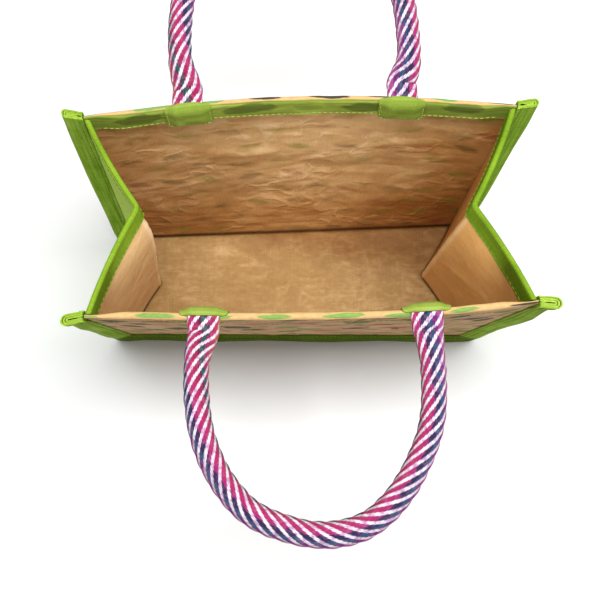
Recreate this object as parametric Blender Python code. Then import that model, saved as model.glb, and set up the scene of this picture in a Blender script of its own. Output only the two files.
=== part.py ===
"""Open jute tote bag: two printed panels, a base, two folded green gussets, green seam
bindings, four handle patches and two padded rope handles.

Metres, +Z up.  The origin lies on the table under the middle of the bag with its handles.
+X runs along the panels and -Y points out through the front panel.
"""

import math

import bmesh
import bpy
import numpy as np
from mathutils import Vector

# ------------------------------------------------------------------ driving sizes, metres
RIM_HEIGHT = 0.240          # top of the panels above the table
BASE_HEIGHT = 0.0125        # underside of the base cloth, carried by the bottom seams
PANEL_HALF_WIDTH = 0.154    # half of a panel, seam to seam
FLANGE_WIDTH = 0.016        # bound seam that stands out beyond each panel
RIM_SHIFT = {"front": 0.0065, "back": 0.0025}   # the rim leans a little to +X ...
BASE_SHIFT = -0.0065        # ... and the base to -X, as the relaxed cloth does

CLOTH = 0.0022              # one layer of laminated jute
PANEL_HEM = 0.0055          # cloth and folded hem together at a panel's rim
PANEL_HEM_DROP = 0.0175     # height of the hem that is folded inside
GUSSET_HEM = 0.0036
GUSSET_HEM_DROP = 0.018
GAP = 0.0003                # between touching pieces

FRONT_RIM_CORNER = 0.0750   # distance of the outer faces from y = 0
FRONT_RIM_SKEW = -0.0010    # added at the right end, taken away at the left end
FRONT_RIM_BOW = 0.0063      # further out at the middle of the rim
FRONT_RIM_LOP = 0.0030      # moves the bow's fullest place to the right
BACK_RIM_CORNER = 0.0705
BACK_RIM_BOW = 0.0115
FRONT_BASE_MIDDLE = 0.0570
FRONT_BASE_SKEW = 0.0045
BACK_BASE_MIDDLE = 0.0480
BACK_BASE_SKEW = 0.0020
PANEL_BELLY = 0.0030        # soft outward curve half way up

CREASE_INSET_RIM = 0.034    # how far a gusset's fold stands in from the panels' ends
CREASE_INSET_BASE = {"left": 0.0255, "right": 0.0305}
CREASE_Y_RIM = {"left": 0.0020, "right": -0.0030}
CREASE_Y_BASE = {"left": -0.0020, "right": -0.0010}
CREASE_ROUNDING = 0.045     # share of a gusset's half width taken by the rounded fold
GUSSET_BOW = 0.0020         # slack of each gusset half, outwards
# places across half a gusset, from the fold to a panel, closer where the cloth turns
GUSSET_PLACES = (0.03, 0.07, 0.13, 0.24, 0.38, 0.54, 0.70, 0.86)

BINDING = 0.0045            # thickness of the folded seam
EAR = {"front": 0.0085, "back": 0.0065}     # thickness of its rolled top end
EAR_HEIGHT = 0.026
EAR_RISE = 0.001
EAR_FLARE = 0.0025
EAR_WALL = 0.0020
EAR_HOLLOW = 0.006
SEAM_SPLAY = 0.0048         # the bottom seams splay out by this much on their way down
SEAM_WAVE = 0.0008

PATCH_HALF_WIDTH = 0.016
PATCH_CLOTH = 0.0016
PATCH_DROP = 0.0195
ROPE_RADIUS = 0.0085
ROPE_END_HALF_WIDTH = 0.011
ROPE_END_HALF_DEPTH = 0.0020
ROPE_END_DROP = 0.0145      # flattened end inside its patch, below the rim
ROPE_RIDGES = 8             # raised bands of the woven cover
ROPE_RIDGE_DEPTH = 0.0010
ROPE_RIDGE_DIPS = (0.0, 0.3, 1.0, 0.3)      # share of the depth at the points of one ridge
ROPE_LEAD = 0.078           # length of one full turn of the twist
ROPE_STEP = 0.0060
HANDLE_HALF_SPACING = {"front": 0.0755, "back": 0.0765}
HANDLE_MIDDLE_X = {"front": 0.0090, "back": -0.0010}
HANDLE_DRIFT = {"front": 0.0, "back": 0.0020}   # sideways, beyond the feet
HANDLE_SPREAD = {"front": 1.0, "back": 1.045}
HANDLE_RIM_Y = 0.080

# The handle's loop: sideways from its middle, reach out from the rim, rise above its exit.
HANDLE_ROUTE = (
    # side     reach    rise
    (-0.0790, 0.0270, 0.0045),
    (-0.0790, 0.0530, 0.0075),
    (-0.0745, 0.0800, 0.0095),
    (-0.0625, 0.1060, 0.0115),
    (-0.0415, 0.1280, 0.0130),
    (-0.0065, 0.1402, 0.0135),
    (0.0245, 0.1370, 0.0130),
    (0.0472, 0.1205, 0.0120),
    (0.0638, 0.0960, 0.0105),
    (0.0735, 0.0710, 0.0085),
    (0.0763, 0.0440, 0.0065),
    (0.0760, 0.0220, 0.0035),
)
# How the flattened end grows into the round rope: distance from the rim, half width, half depth.
ROPE_GROWTH = (
    # out    width    depth
    (0.0005, ROPE_END_HALF_WIDTH, ROPE_END_HALF_DEPTH),
    (0.0080, 0.0108, 0.0042),
    (0.0180, 0.0097, 0.0068),
    (0.0300, ROPE_RADIUS, ROPE_RADIUS),
)
# Soft dents and swells in the panels: centre across and up, half width and half height
# as shares of the panel, and depth, positive outwards.
FRONT_FOLDS = (
    # across   up    wide  high   depth
    (-0.45, 0.55, 0.50, 0.16, 0.0016),
    (0.30, 0.38, 0.55, 0.14, -0.0014),
    (0.60, 0.70, 0.35, 0.12, 0.0012),
)
BACK_FOLDS = (
    (-0.35, 0.66, 0.55, 0.10, -0.0016),
    (0.35, 0.52, 0.50, 0.11, 0.0015),
    (-0.20, 0.34, 0.60, 0.11, 0.0013),
    (0.55, 0.26, 0.35, 0.09, -0.0012),
)

OUTWARD = {"front": -1.0, "back": 1.0}      # sign of y on each side
LATERAL = {"left": -1.0, "right": 1.0}      # sign of x on each side
FINISHES = {
    # slot          red    green  blue   roughness
    "jute": (0.560, 0.350, 0.165, 0.88),
    "green_jute": (0.270, 0.450, 0.060, 0.85),
    "handle_weave": (0.640, 0.190, 0.370, 0.75),
}


# ------------------------------------------------------------------ small helpers
def smooth(x):
    """Ease from 0 to 1 as x goes from 0 to 1."""
    x = np.clip(x, 0.0, 1.0)
    return x * x * (3.0 - 2.0 * x)


def finish(slot):
    """The named cloth's Principled material, made once."""
    if slot in bpy.data.materials:
        return bpy.data.materials[slot]
    red, green, blue, roughness = FINISHES[slot]
    material = bpy.data.materials.new(slot)
    material.use_nodes = True
    shader = material.node_tree.nodes["Principled BSDF"]
    shader.inputs["Base Color"].default_value = (red, green, blue, 1.0)
    shader.inputs["Roughness"].default_value = roughness
    shader.inputs["Metallic"].default_value = 0.0
    return material


def skinned(name, loops, slot, parent):
    """A closed body through a row of closed loops of points, with a face on each end."""
    mesh = bpy.data.meshes.new(name)
    work = bmesh.new()
    rings = [[work.verts.new(Vector(point)) for point in loop] for loop in loops]
    count = len(rings[0])
    for first, second in zip(rings, rings[1:]):
        for k in range(count):
            after = (k + 1) % count
            work.faces.new((first[k], first[after], second[after], second[k]))
    work.faces.new(rings[0])
    work.faces.new(rings[-1])
    bmesh.ops.recalc_face_normals(work, faces=work.faces)
    work.to_mesh(mesh)
    work.free()
    mesh.shade_smooth()
    mesh.set_sharp_from_angle(angle=math.radians(50.0))
    mesh.materials.append(finish(slot))
    body = bpy.data.objects.new(name, mesh)
    bpy.context.collection.objects.link(body)
    body.parent = parent
    return body


# ------------------------------------------------------------------ shape of the cloth
def share_up(z):
    """0 at the base cloth, 1 at the rim."""
    return (z - BASE_HEIGHT) / (RIM_HEIGHT - BASE_HEIGHT)


def lean(side, z):
    """Sideways shift of a panel at a height."""
    return BASE_SHIFT + (RIM_SHIFT[side] - BASE_SHIFT) * share_up(z)


def fold_depth(side, across, up):
    """Outward swell of a panel from its table of soft folds, none at its edges."""
    depth = 0.0
    for middle, level, wide, high, height in FRONT_FOLDS if side == "front" else BACK_FOLDS:
        spread = ((across - middle) / wide) ** 2 + ((up - level) / high) ** 2
        depth += height * math.exp(-2.0 * spread)
    return depth * smooth((1.0 - abs(across)) / 0.15) * smooth(up / 0.1) * smooth((0.88 - up) / 0.1)


def panel_reach(side, across, z):
    """Distance of a panel's outer face from y = 0."""
    up = share_up(z)
    bow = 1.0 - across * across
    if side == "front":
        base = FRONT_BASE_MIDDLE + FRONT_BASE_SKEW * across
        rim = FRONT_RIM_CORNER + FRONT_RIM_SKEW * across
        rim += FRONT_RIM_BOW * (1.0 - abs(across) ** 2.6) + FRONT_RIM_LOP * across * bow
    else:
        base = BACK_BASE_MIDDLE + BACK_BASE_SKEW * across
        rim = BACK_RIM_CORNER + BACK_RIM_BOW * bow
    belly = PANEL_BELLY * math.sin(math.pi * min(max(up, 0.0), 1.0)) * bow
    return base + (rim - base) * up + belly + fold_depth(side, across, up)


def panel_point(side, across, z, inset):
    """Point of a panel, inset from its outer face towards the inside of the bag."""
    y = OUTWARD[side] * (panel_reach(side, across, z) - inset)
    return (across * PANEL_HALF_WIDTH + lean(side, z), y, z)


def hemmed_profile(rim, hem, drop, rows, arc_steps):
    """Heights and insets round a hemmed cloth's section: up the outer face, over the
    rounded fold, down the hem and its step, and down the inner face."""
    radius = hem / 2.0
    top = rim - radius
    heights = [BASE_HEIGHT + (top - BASE_HEIGHT) * k / rows for k in range(rows + 1)]
    profile = [(z, 0.0) for z in heights]
    for k in range(1, arc_steps):
        turn = math.pi * k / arc_steps
        profile.append((top + radius * math.sin(turn), radius * (1.0 - math.cos(turn))))
    profile += [(top, hem), (rim - drop * 0.55, hem), (rim - drop, hem)]
    profile.append((rim - drop - 0.0012, min(CLOTH, hem)))
    below = rim - drop - 0.0012
    profile += [(z, min(CLOTH, hem)) for z in reversed(heights) if z < below - 0.004]
    return profile


# ------------------------------------------------------------------ panels
def panel(side, parent):
    """A printed jute panel, its top edge folded inside as a puffed hem."""
    ends = [0.97, 0.93, 0.88, 0.82]
    middle = list(np.linspace(0.74, 0.0, 9))
    half = [1.0] + ends + middle
    stations = [-u for u in half] + [u for u in reversed(half[:-1])]
    loops = []
    for across in stations:
        puff = float(smooth((0.97 - abs(across)) / 0.15))
        hem = CLOTH + 0.0002 + (PANEL_HEM - CLOTH - 0.0002) * puff
        profile = hemmed_profile(RIM_HEIGHT, hem, PANEL_HEM_DROP, 10, 4)
        loops.append([panel_point(side, across, z, inset) for z, inset in profile])
    return skinned(side + "_panel", loops, "jute", parent)


# ------------------------------------------------------------------ gussets
def gusset_corner(hand, side, z):
    """Where a gusset's outer face meets the inner face of a panel, in plan."""
    x, y, _ = panel_point(side, LATERAL[hand], z, CLOTH + 0.0006)
    return np.array((x, y))


def gusset_crease(hand, z):
    """The gusset's inward fold, on its outer face, in plan."""
    up = share_up(z)
    inset_base = CREASE_INSET_BASE[hand]
    inset = inset_base + (CREASE_INSET_RIM - inset_base) * up
    y_base = CREASE_Y_BASE[hand]
    middle = (lean("front", z) + lean("back", z)) / 2.0
    x = LATERAL[hand] * (PANEL_HALF_WIDTH - inset) + middle
    return np.array((x, y_base + (CREASE_Y_RIM[hand] - y_base) * up))


def gusset_plan(hand, z, along):
    """Plan point of a gusset's outer face, along = -1 at the front panel, 0 at the fold
    and 1 at the back panel."""
    corner = gusset_corner(hand, "front" if along < 0.0 else "back", z)
    crease = gusset_crease(hand, z)
    full = math.hypot(1.0, CREASE_ROUNDING) - CREASE_ROUNDING
    away = (math.hypot(along, CREASE_ROUNDING) - CREASE_ROUNDING) / full
    bow = GUSSET_BOW * 4.0 * away * (1.0 - away)
    line = crease + (corner - crease) * away
    # the two halves meet at the fold, so the side step follows along and not away
    line[1] = crease[1] + (corner[1] - crease[1]) * abs(along)
    return line + np.array((LATERAL[hand] * bow, 0.0))


def gusset_point(hand, z, along, inset):
    """Point of a gusset, inset from its outer face towards the inside of the bag."""
    step = 0.01
    here = gusset_plan(hand, z, along)
    before = gusset_plan(hand, z, max(along - step, -1.0))
    after = gusset_plan(hand, z, min(along + step, 1.0))
    run = after - before
    run /= np.linalg.norm(run)
    inward = np.array((-LATERAL[hand] * run[1], LATERAL[hand] * run[0]))
    if abs(along) > 0.999:
        # an end is cut flush with the panel's inner face
        inward = np.array((-LATERAL[hand] / abs(inward[0]), 0.0))
    here = here + inward * inset
    return (here[0], here[1], z)


def gusset(hand, parent):
    """A side strip folded in along its middle, its top edge hemmed inside."""
    half = GUSSET_PLACES + (1.0,)
    stations = [-w for w in reversed(half)] + [0.0] + list(half)
    profile = hemmed_profile(RIM_HEIGHT - 0.001, GUSSET_HEM, GUSSET_HEM_DROP, 5, 3)
    loops = [[gusset_point(hand, z, along, inset) for z, inset in profile] for along in stations]
    return skinned("gusset_" + hand, loops, "green_jute", parent)


# ------------------------------------------------------------------ base
def base_outline(z):
    """Plan of the base cloth at a height, just inside the panels and the gussets."""
    margin = CLOTH + GAP * 1.5
    across = np.linspace(-0.965, 0.965, 9)
    along = [-w for w in reversed(GUSSET_PLACES)] + [0.0] + list(GUSSET_PLACES)
    outline = [panel_point("front", u, z, margin) for u in across]
    outline += [gusset_point("right", z, w, margin) for w in along]
    outline += [panel_point("back", u, z, margin) for u in across[::-1]]
    outline += [gusset_point("left", z, w, margin) for w in along[::-1]]
    return outline


def base_panel(parent):
    """The flat cloth that closes the bottom."""
    loops = [base_outline(z) for z in (BASE_HEIGHT, BASE_HEIGHT + CLOTH)]
    return skinned("base_panel", loops, "jute", parent)


# ------------------------------------------------------------------ seam bindings
def binding_section(side, inner, outer, thickness):
    """Section of the folded seam between its inner and outer edge: flat faces, and an outer
    edge that keeps a flat of two thirds of the thickness."""
    inner, outer = np.array(inner), np.array(outer)
    body = inner + (outer - inner) * 0.86
    half = np.array((0.0, OUTWARD[side] * thickness / 2.0, 0.0))
    return [inner + half, body + half, outer + half * 0.66,
            outer - half * 0.66, body - half, inner - half]


def binding(side, parent):
    """The green seam round a panel: down one end, along the bottom and up the other end,
    with rolled ears at the rim."""
    middle = CLOTH / 2.0
    inner_x = PANEL_HALF_WIDTH + GAP
    outer_x = PANEL_HALF_WIDTH + FLANGE_WIDTH
    seam_top = BASE_HEIGHT - GAP
    out = OUTWARD[side]

    def edge_y(across, z):
        return out * (panel_reach(side, across, z) - middle)

    def upright(hand, z, thickness, flare):
        sign = LATERAL[hand]
        y = edge_y(sign, z)
        wave = SEAM_WAVE * math.sin(40.0 * z + sign)
        inner = (sign * inner_x + lean(side, z), y, z)
        outer = (sign * outer_x + lean(side, z), y + out * (flare + wave), z)
        return binding_section(side, inner, outer, thickness)

    def corner(hand):
        sign = LATERAL[hand]
        y = edge_y(sign, BASE_HEIGHT)
        shift = lean(side, BASE_HEIGHT)
        turns = (
            # inner edge x, z              outer edge x, z                 share of the splay
            ((inner_x, seam_top + 0.0012), (outer_x, 0.0085), 0.25),
            ((inner_x, seam_top), (outer_x - 0.0035, 0.0018), 0.75),
            ((inner_x - 0.0012, seam_top), (outer_x - 0.0100, 0.0), 1.0),
        )
        rows = []
        for (x_in, z_in), (x_out, z_out), splay in turns:
            inner = (sign * x_in + shift, y, z_in)
            outer = (sign * x_out + shift, y + out * SEAM_SPLAY * splay, z_out)
            rows.append(binding_section(side, inner, outer, BINDING))
        return rows

    def ear_end(hand):
        rim = upright(hand, RIM_HEIGHT + EAR_RISE, EAR[side], EAR_FLARE)
        centre = sum(rim) / len(rim)
        width = FLANGE_WIDTH / 2.0
        shrink = np.array(((width - EAR_WALL) / width, 1.0 - 2.0 * EAR_WALL / EAR[side], 1.0))
        lip = [centre + (point - centre) * shrink for point in rim]
        floor = [point - np.array((0.0, 0.0, EAR_HOLLOW)) for point in lip]
        return [floor, lip, rim]

    def side_run(hand):
        below = RIM_HEIGHT - EAR_HEIGHT
        rows = ear_end(hand)
        rows.append(upright(hand, RIM_HEIGHT - 0.010, EAR[side] * 0.97, EAR_FLARE * 0.8))
        rows.append(upright(hand, below + 0.006, BINDING * 1.25, EAR_FLARE * 0.3))
        for z in np.linspace(below - 0.006, 0.030, 7):
            rows.append(upright(hand, z, BINDING, 0.0))
        return rows

    bottom = []
    for across in np.linspace(-0.93, 0.93, 14):
        x = across * PANEL_HALF_WIDTH + lean(side, BASE_HEIGHT)
        y = edge_y(across, BASE_HEIGHT)
        wave = SEAM_WAVE * math.sin(9.0 * across)
        bottom.append(binding_section(side, (x, y, seam_top),
                                      (x, y + out * (SEAM_SPLAY + wave), 0.0), BINDING))
    loops = side_run("left") + corner("left") + bottom
    loops += corner("right")[::-1] + side_run("right")[::-1]
    return skinned(side + "_binding", loops, "green_jute", parent)


# ------------------------------------------------------------------ handles and patches
def handle_foot(side, hand):
    """Sideways place of a handle's foot on the rim."""
    return HANDLE_MIDDLE_X[side] + LATERAL[hand] * HANDLE_HALF_SPACING[side]


def over_rim(side, x, path, lift):
    """Point on a path that climbs the hem inside and turns outwards over the rim, lifted
    from the hem.  path is a pair: ("leg", depth below the rim), ("turn", angle up from
    the leg) or ("out", distance out from the outer face)."""
    kind, value = path
    radius = PANEL_HEM / 2.0
    centre = RIM_HEIGHT - radius
    if kind == "leg":
        z = RIM_HEIGHT - value
        inset = PANEL_HEM + lift
    elif kind == "turn":
        z = centre + (radius + lift) * math.sin(value)
        inset = radius + (radius + lift) * math.cos(value)
    else:
        z = RIM_HEIGHT + lift
        inset = -value
    face_z = min(z, RIM_HEIGHT)
    across = (x - lean(side, face_z)) / PANEL_HALF_WIDTH
    return np.array((x, OUTWARD[side] * (panel_reach(side, across, face_z) - inset), z))


def patch(side, hand, parent):
    """A green patch sewn over a handle's foot: it covers the hem inside and ends as a
    lip on top of the rim."""
    x_middle = handle_foot(side, hand)
    raised = 2.0 * ROPE_END_HALF_DEPTH + 2.0 * GAP
    quarter = math.pi / 2.0
    path = [("leg", PATCH_DROP), ("leg", ROPE_END_DROP + 0.002), ("leg", 0.009)]
    path += [("turn", quarter * k / 4.0) for k in range(5)]
    path += [("out", -0.0005)]
    spans = (-1.0, -0.90, -0.76, -0.4, 0.0, 0.4, 0.76, 0.90, 1.0)
    loops = []
    for row, place in enumerate(path):
        closing = 0.15 if row == 0 else 1.0
        under, over = [], []
        for span in spans:
            puff = float(smooth((1.0 - abs(span)) / 0.24)) * closing
            lift = GAP + (raised - GAP) * puff
            x = x_middle + span * PATCH_HALF_WIDTH
            under.append(over_rim(side, x, place, lift))
            over.append(over_rim(side, x, place, lift + PATCH_CLOTH))
        loops.append(over + under[::-1])
    return skinned("patch_" + side + "_" + hand, loops, "green_jute", parent)


def catmull_rom(points, steps):
    """Smooth curve through points, each span cut into steps."""
    points = np.array(points)
    padded = np.vstack((2.0 * points[0] - points[1], points, 2.0 * points[-1] - points[-2]))
    curve = []
    for a, b, c, d in zip(padded, padded[1:], padded[2:], padded[3:]):
        for t in np.arange(steps) / steps:
            curve.append(0.5 * (2.0 * b + (c - a) * t + (2.0 * a - 5.0 * b + 4.0 * c - d) * t ** 2
                                + (3.0 * b - 3.0 * c + d - a) * t ** 3))
    curve.append(points[-1])
    return np.array(curve)


def respaced(curve, step):
    """The same curve as equal steps of about the given length."""
    lengths = np.linalg.norm(np.diff(curve, axis=0), axis=1)
    travelled = np.concatenate(((0.0,), np.cumsum(lengths)))
    count = round(travelled[-1] / step)
    stops = np.linspace(0.0, travelled[-1], count + 1)
    return np.stack([np.interp(stops, travelled, curve[:, k]) for k in range(3)], axis=1)


def handle_line(side):
    """Centre line of a handle from its left foot to its right foot, and how many of its
    points at each end belong to the foot."""
    lift = GAP + ROPE_END_HALF_DEPTH
    path = [("leg", ROPE_END_DROP), ("leg", 0.008)]
    path += [("turn", math.pi / 2.0 * k / 4.0) for k in range(5)]
    path += [("out", 0.0005), ("out", 0.0040)]
    feet = {hand: [over_rim(side, handle_foot(side, hand), place, lift) for place in path]
            for hand in LATERAL}
    top = RIM_HEIGHT + lift
    route = [feet["left"][-1], over_rim(side, handle_foot(side, "left"), ("out", 0.010), lift)]
    for sideways, reach, rise in HANDLE_ROUTE:
        x = HANDLE_MIDDLE_X[side] + HANDLE_DRIFT[side] + HANDLE_SPREAD[side] * sideways
        route.append(np.array((x, OUTWARD[side] * (HANDLE_RIM_Y + reach), top + rise)))
    route.append(over_rim(side, handle_foot(side, "right"), ("out", 0.010), lift))
    route.append(feet["right"][-1])
    loop = respaced(catmull_rom(route, 12), ROPE_STEP)
    line = np.vstack((feet["left"][:-1], loop, feet["right"][:-1][::-1]))
    return line, len(path) - 1


def handle(side, parent):
    """A padded rope handle: round and twisted along its loop, flat where it is sewn in."""
    line, foot = handle_line(side)
    tangents = np.gradient(line, axis=0)
    tangents /= np.linalg.norm(tangents, axis=1)[:, None]
    travelled = np.concatenate(((0.0,), np.cumsum(np.linalg.norm(np.diff(line, axis=0), axis=1))))
    rim_y = np.abs(line[:, 1]) - np.array([
        panel_reach(side, (x - RIM_SHIFT[side]) / PANEL_HALF_WIDTH, RIM_HEIGHT)
        for x in line[:, 0]])
    growth = np.array(ROPE_GROWTH)
    half_width = np.interp(rim_y, growth[:, 0], growth[:, 1])
    half_depth = np.interp(rim_y, growth[:, 0], growth[:, 2])
    steps = len(ROPE_RIDGE_DIPS)
    count = steps * ROPE_RIDGES
    loops = []
    for k, centre in enumerate(line):
        if k < foot or k >= len(line) - foot:
            # across the foot the width lies along the rim
            sign = OUTWARD[side] if k < foot else -OUTWARD[side]
            width_axis = np.array((-sign, 0.0, 0.0))
        else:
            width_axis = np.cross((0.0, 0.0, 1.0), tangents[k])
        width_axis = width_axis - tangents[k] * float(width_axis @ tangents[k])
        width_axis /= np.linalg.norm(width_axis)
        depth_axis = np.cross(tangents[k], width_axis)
        ridge = ROPE_RIDGE_DEPTH * half_depth[k] / ROPE_RADIUS
        turn = 2.0 * math.pi * travelled[k] / ROPE_LEAD
        ring = []
        for j in range(count):
            angle = 2.0 * math.pi * j / count + turn
            dip = ridge * ROPE_RIDGE_DIPS[j % steps]
            ring.append(centre + width_axis * (half_width[k] - dip) * math.cos(angle)
                        + depth_axis * (half_depth[k] - dip) * math.sin(angle))
        loops.append(ring)
    return skinned("handle_" + side, loops, "handle_weave", parent)


# ------------------------------------------------------------------ the bag
def build():
    """Make every piece of the bag."""
    for old in list(bpy.data.objects):
        bpy.data.objects.remove(old, do_unlink=True)
    bag = bpy.data.objects.new("bag", None)
    bpy.context.collection.objects.link(bag)
    base_panel(bag)
    for hand in LATERAL:
        gusset(hand, bag)
    for side in OUTWARD:
        panel(side, bag)
        binding(side, bag)
        handle(side, bag)
        for hand in LATERAL:
            patch(side, hand, bag)


build()
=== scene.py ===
"""Looks of the jute tote bag: fine cloth, seams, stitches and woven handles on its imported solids.

Metres, +Z up.  -Y is the front panel, +X runs along the panels.  Every surface is worked out with
numpy from the bag's own sizes, and every finish is a tree of procedural shader nodes.
"""

import logging
import math
from dataclasses import dataclass, field
from enum import Enum
from functools import cached_property
from typing import Any, Callable, Sequence

import bpy
import numpy as np
from mathutils import Matrix


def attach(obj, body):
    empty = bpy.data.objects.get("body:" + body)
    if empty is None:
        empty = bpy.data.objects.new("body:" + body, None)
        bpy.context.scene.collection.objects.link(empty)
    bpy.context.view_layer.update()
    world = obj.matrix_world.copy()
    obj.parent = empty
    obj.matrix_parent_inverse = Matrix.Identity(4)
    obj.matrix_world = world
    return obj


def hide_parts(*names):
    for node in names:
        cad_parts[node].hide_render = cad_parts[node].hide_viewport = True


Array = np.ndarray
Colour = tuple[float, float, float]

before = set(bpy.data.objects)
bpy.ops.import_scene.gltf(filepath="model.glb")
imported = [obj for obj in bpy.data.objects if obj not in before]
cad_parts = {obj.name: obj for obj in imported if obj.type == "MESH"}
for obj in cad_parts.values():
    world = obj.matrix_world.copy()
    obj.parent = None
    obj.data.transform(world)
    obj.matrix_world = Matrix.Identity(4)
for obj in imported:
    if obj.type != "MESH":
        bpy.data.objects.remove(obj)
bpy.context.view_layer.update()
log = logging.getLogger("bag")

ROOT = "root"


class End(Enum):
    """One of two opposite ends; the value is the sign of its coordinate."""

    @property
    def word(self) -> str:
        """The end's name in lower case."""
        return self.name.lower()


class Side(End):
    """The two printed panels, along y."""

    FRONT = -1.0
    BACK = 1.0


class Hand(End):
    """The two ends of the bag, along x."""

    LEFT = -1.0
    RIGHT = 1.0


@dataclass(frozen=True)
class PerEnd:
    """A size that differs between two ends: front and back, or left and right."""

    first: float
    second: float

    def of(self, end: End) -> float:
        """The size at that end."""
        return self.first if end.value < 0.0 else self.second


# ------------------------------------------------------------------ numbers and curves
def smooth(x: Array) -> Array:
    """Ease from 0 to 1 as x goes from 0 to 1: x squared times (3 minus 2x)."""
    x = np.clip(x, 0.0, 1.0)
    return x * x * (3.0 - 2.0 * x)


def crumple(u: Array, v: Array, grain_u: float, grain_v: float, seed: int) -> Array:
    """Soft random height between -1 and 1: random values on a lattice, eased between them.

    Args:
        u, v: places on the cloth, metres.
        grain_u, grain_v: lattice spacing, metres.
        seed: picks the lattice values.

    Returns:
        The height at each place.
    """
    wide, high = 97, 89
    away_u, away_v = 31.0, 17.0
    table = np.random.default_rng(seed).uniform(-1.0, 1.0, (wide, high))
    x, y = np.asarray(u) / grain_u + away_u, np.asarray(v) / grain_v + away_v
    i, j = np.floor(x).astype(int), np.floor(y).astype(int)
    p, q = smooth(x - i), smooth(y - j)
    i0, i1, j0, j1 = i % wide, (i + 1) % wide, j % high, (j + 1) % high
    low = table[i0, j0] * (1.0 - p) + table[i1, j0] * p
    high = table[i0, j1] * (1.0 - p) + table[i1, j1] * p
    return low * (1.0 - q) + high * q


def catmull_rom(points: Array, steps: int) -> Array:
    """Smooth curve through points: each span is the cubic whose end slopes are half the
    difference of the neighbours, cut into steps."""
    padded = np.vstack((2.0 * points[0] - points[1], points, 2.0 * points[-1] - points[-2]))
    a, b, c, d = (padded[k:k + len(points) - 1, None, :] for k in range(4))
    t = (np.arange(steps) / steps)[None, :, None]
    spans = 0.5 * (2.0 * b + (c - a) * t + (2.0 * a - 5.0 * b + 4.0 * c - d) * t ** 2
                   + (3.0 * b - 3.0 * c + d - a) * t ** 3)
    return np.vstack((spans.reshape(-1, points.shape[1]), points[-1:]))


def travelled(curve: Array) -> Array:
    """Distance along a polyline at each of its points."""
    return np.concatenate(((0.0,), np.cumsum(np.linalg.norm(np.diff(curve, axis=0), axis=1))))


def sampled(stops: Array, along: Array, rows: Array) -> Array:
    """Rows read off at stops along a line, by straight lines between its points."""
    return np.stack([np.interp(stops, along, column) for column in rows.T], axis=1)


def respaced(curve: Array, step: float, other: Array | None = None) -> Array:
    """The same curve, or another quantity carried along it, at equal steps of about that length."""
    along = travelled(curve)
    stops = np.linspace(0.0, along[-1], round(along[-1] / step) + 1)
    return sampled(stops, along, curve if other is None else other)


def unit(vectors: Array) -> Array:
    """The vectors scaled to length 1."""
    return vectors / np.maximum(np.linalg.norm(vectors, axis=-1, keepdims=True), 1e-12)


# ------------------------------------------------------------------ the bag's form
@dataclass(frozen=True)
class Fold:
    """A soft fold of a panel, placed in shares of its half width and height; height in metres."""

    middle: float
    level: float
    wide: float
    high: float
    height: float

    def swell(self, across: Array, up: Array) -> Array:
        """Its outward height: a bell over the panel."""
        return self.height * np.exp(-2.0 * (((across - self.middle) / self.wide) ** 2
                                            + ((up - self.level) / self.high) ** 2))


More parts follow.
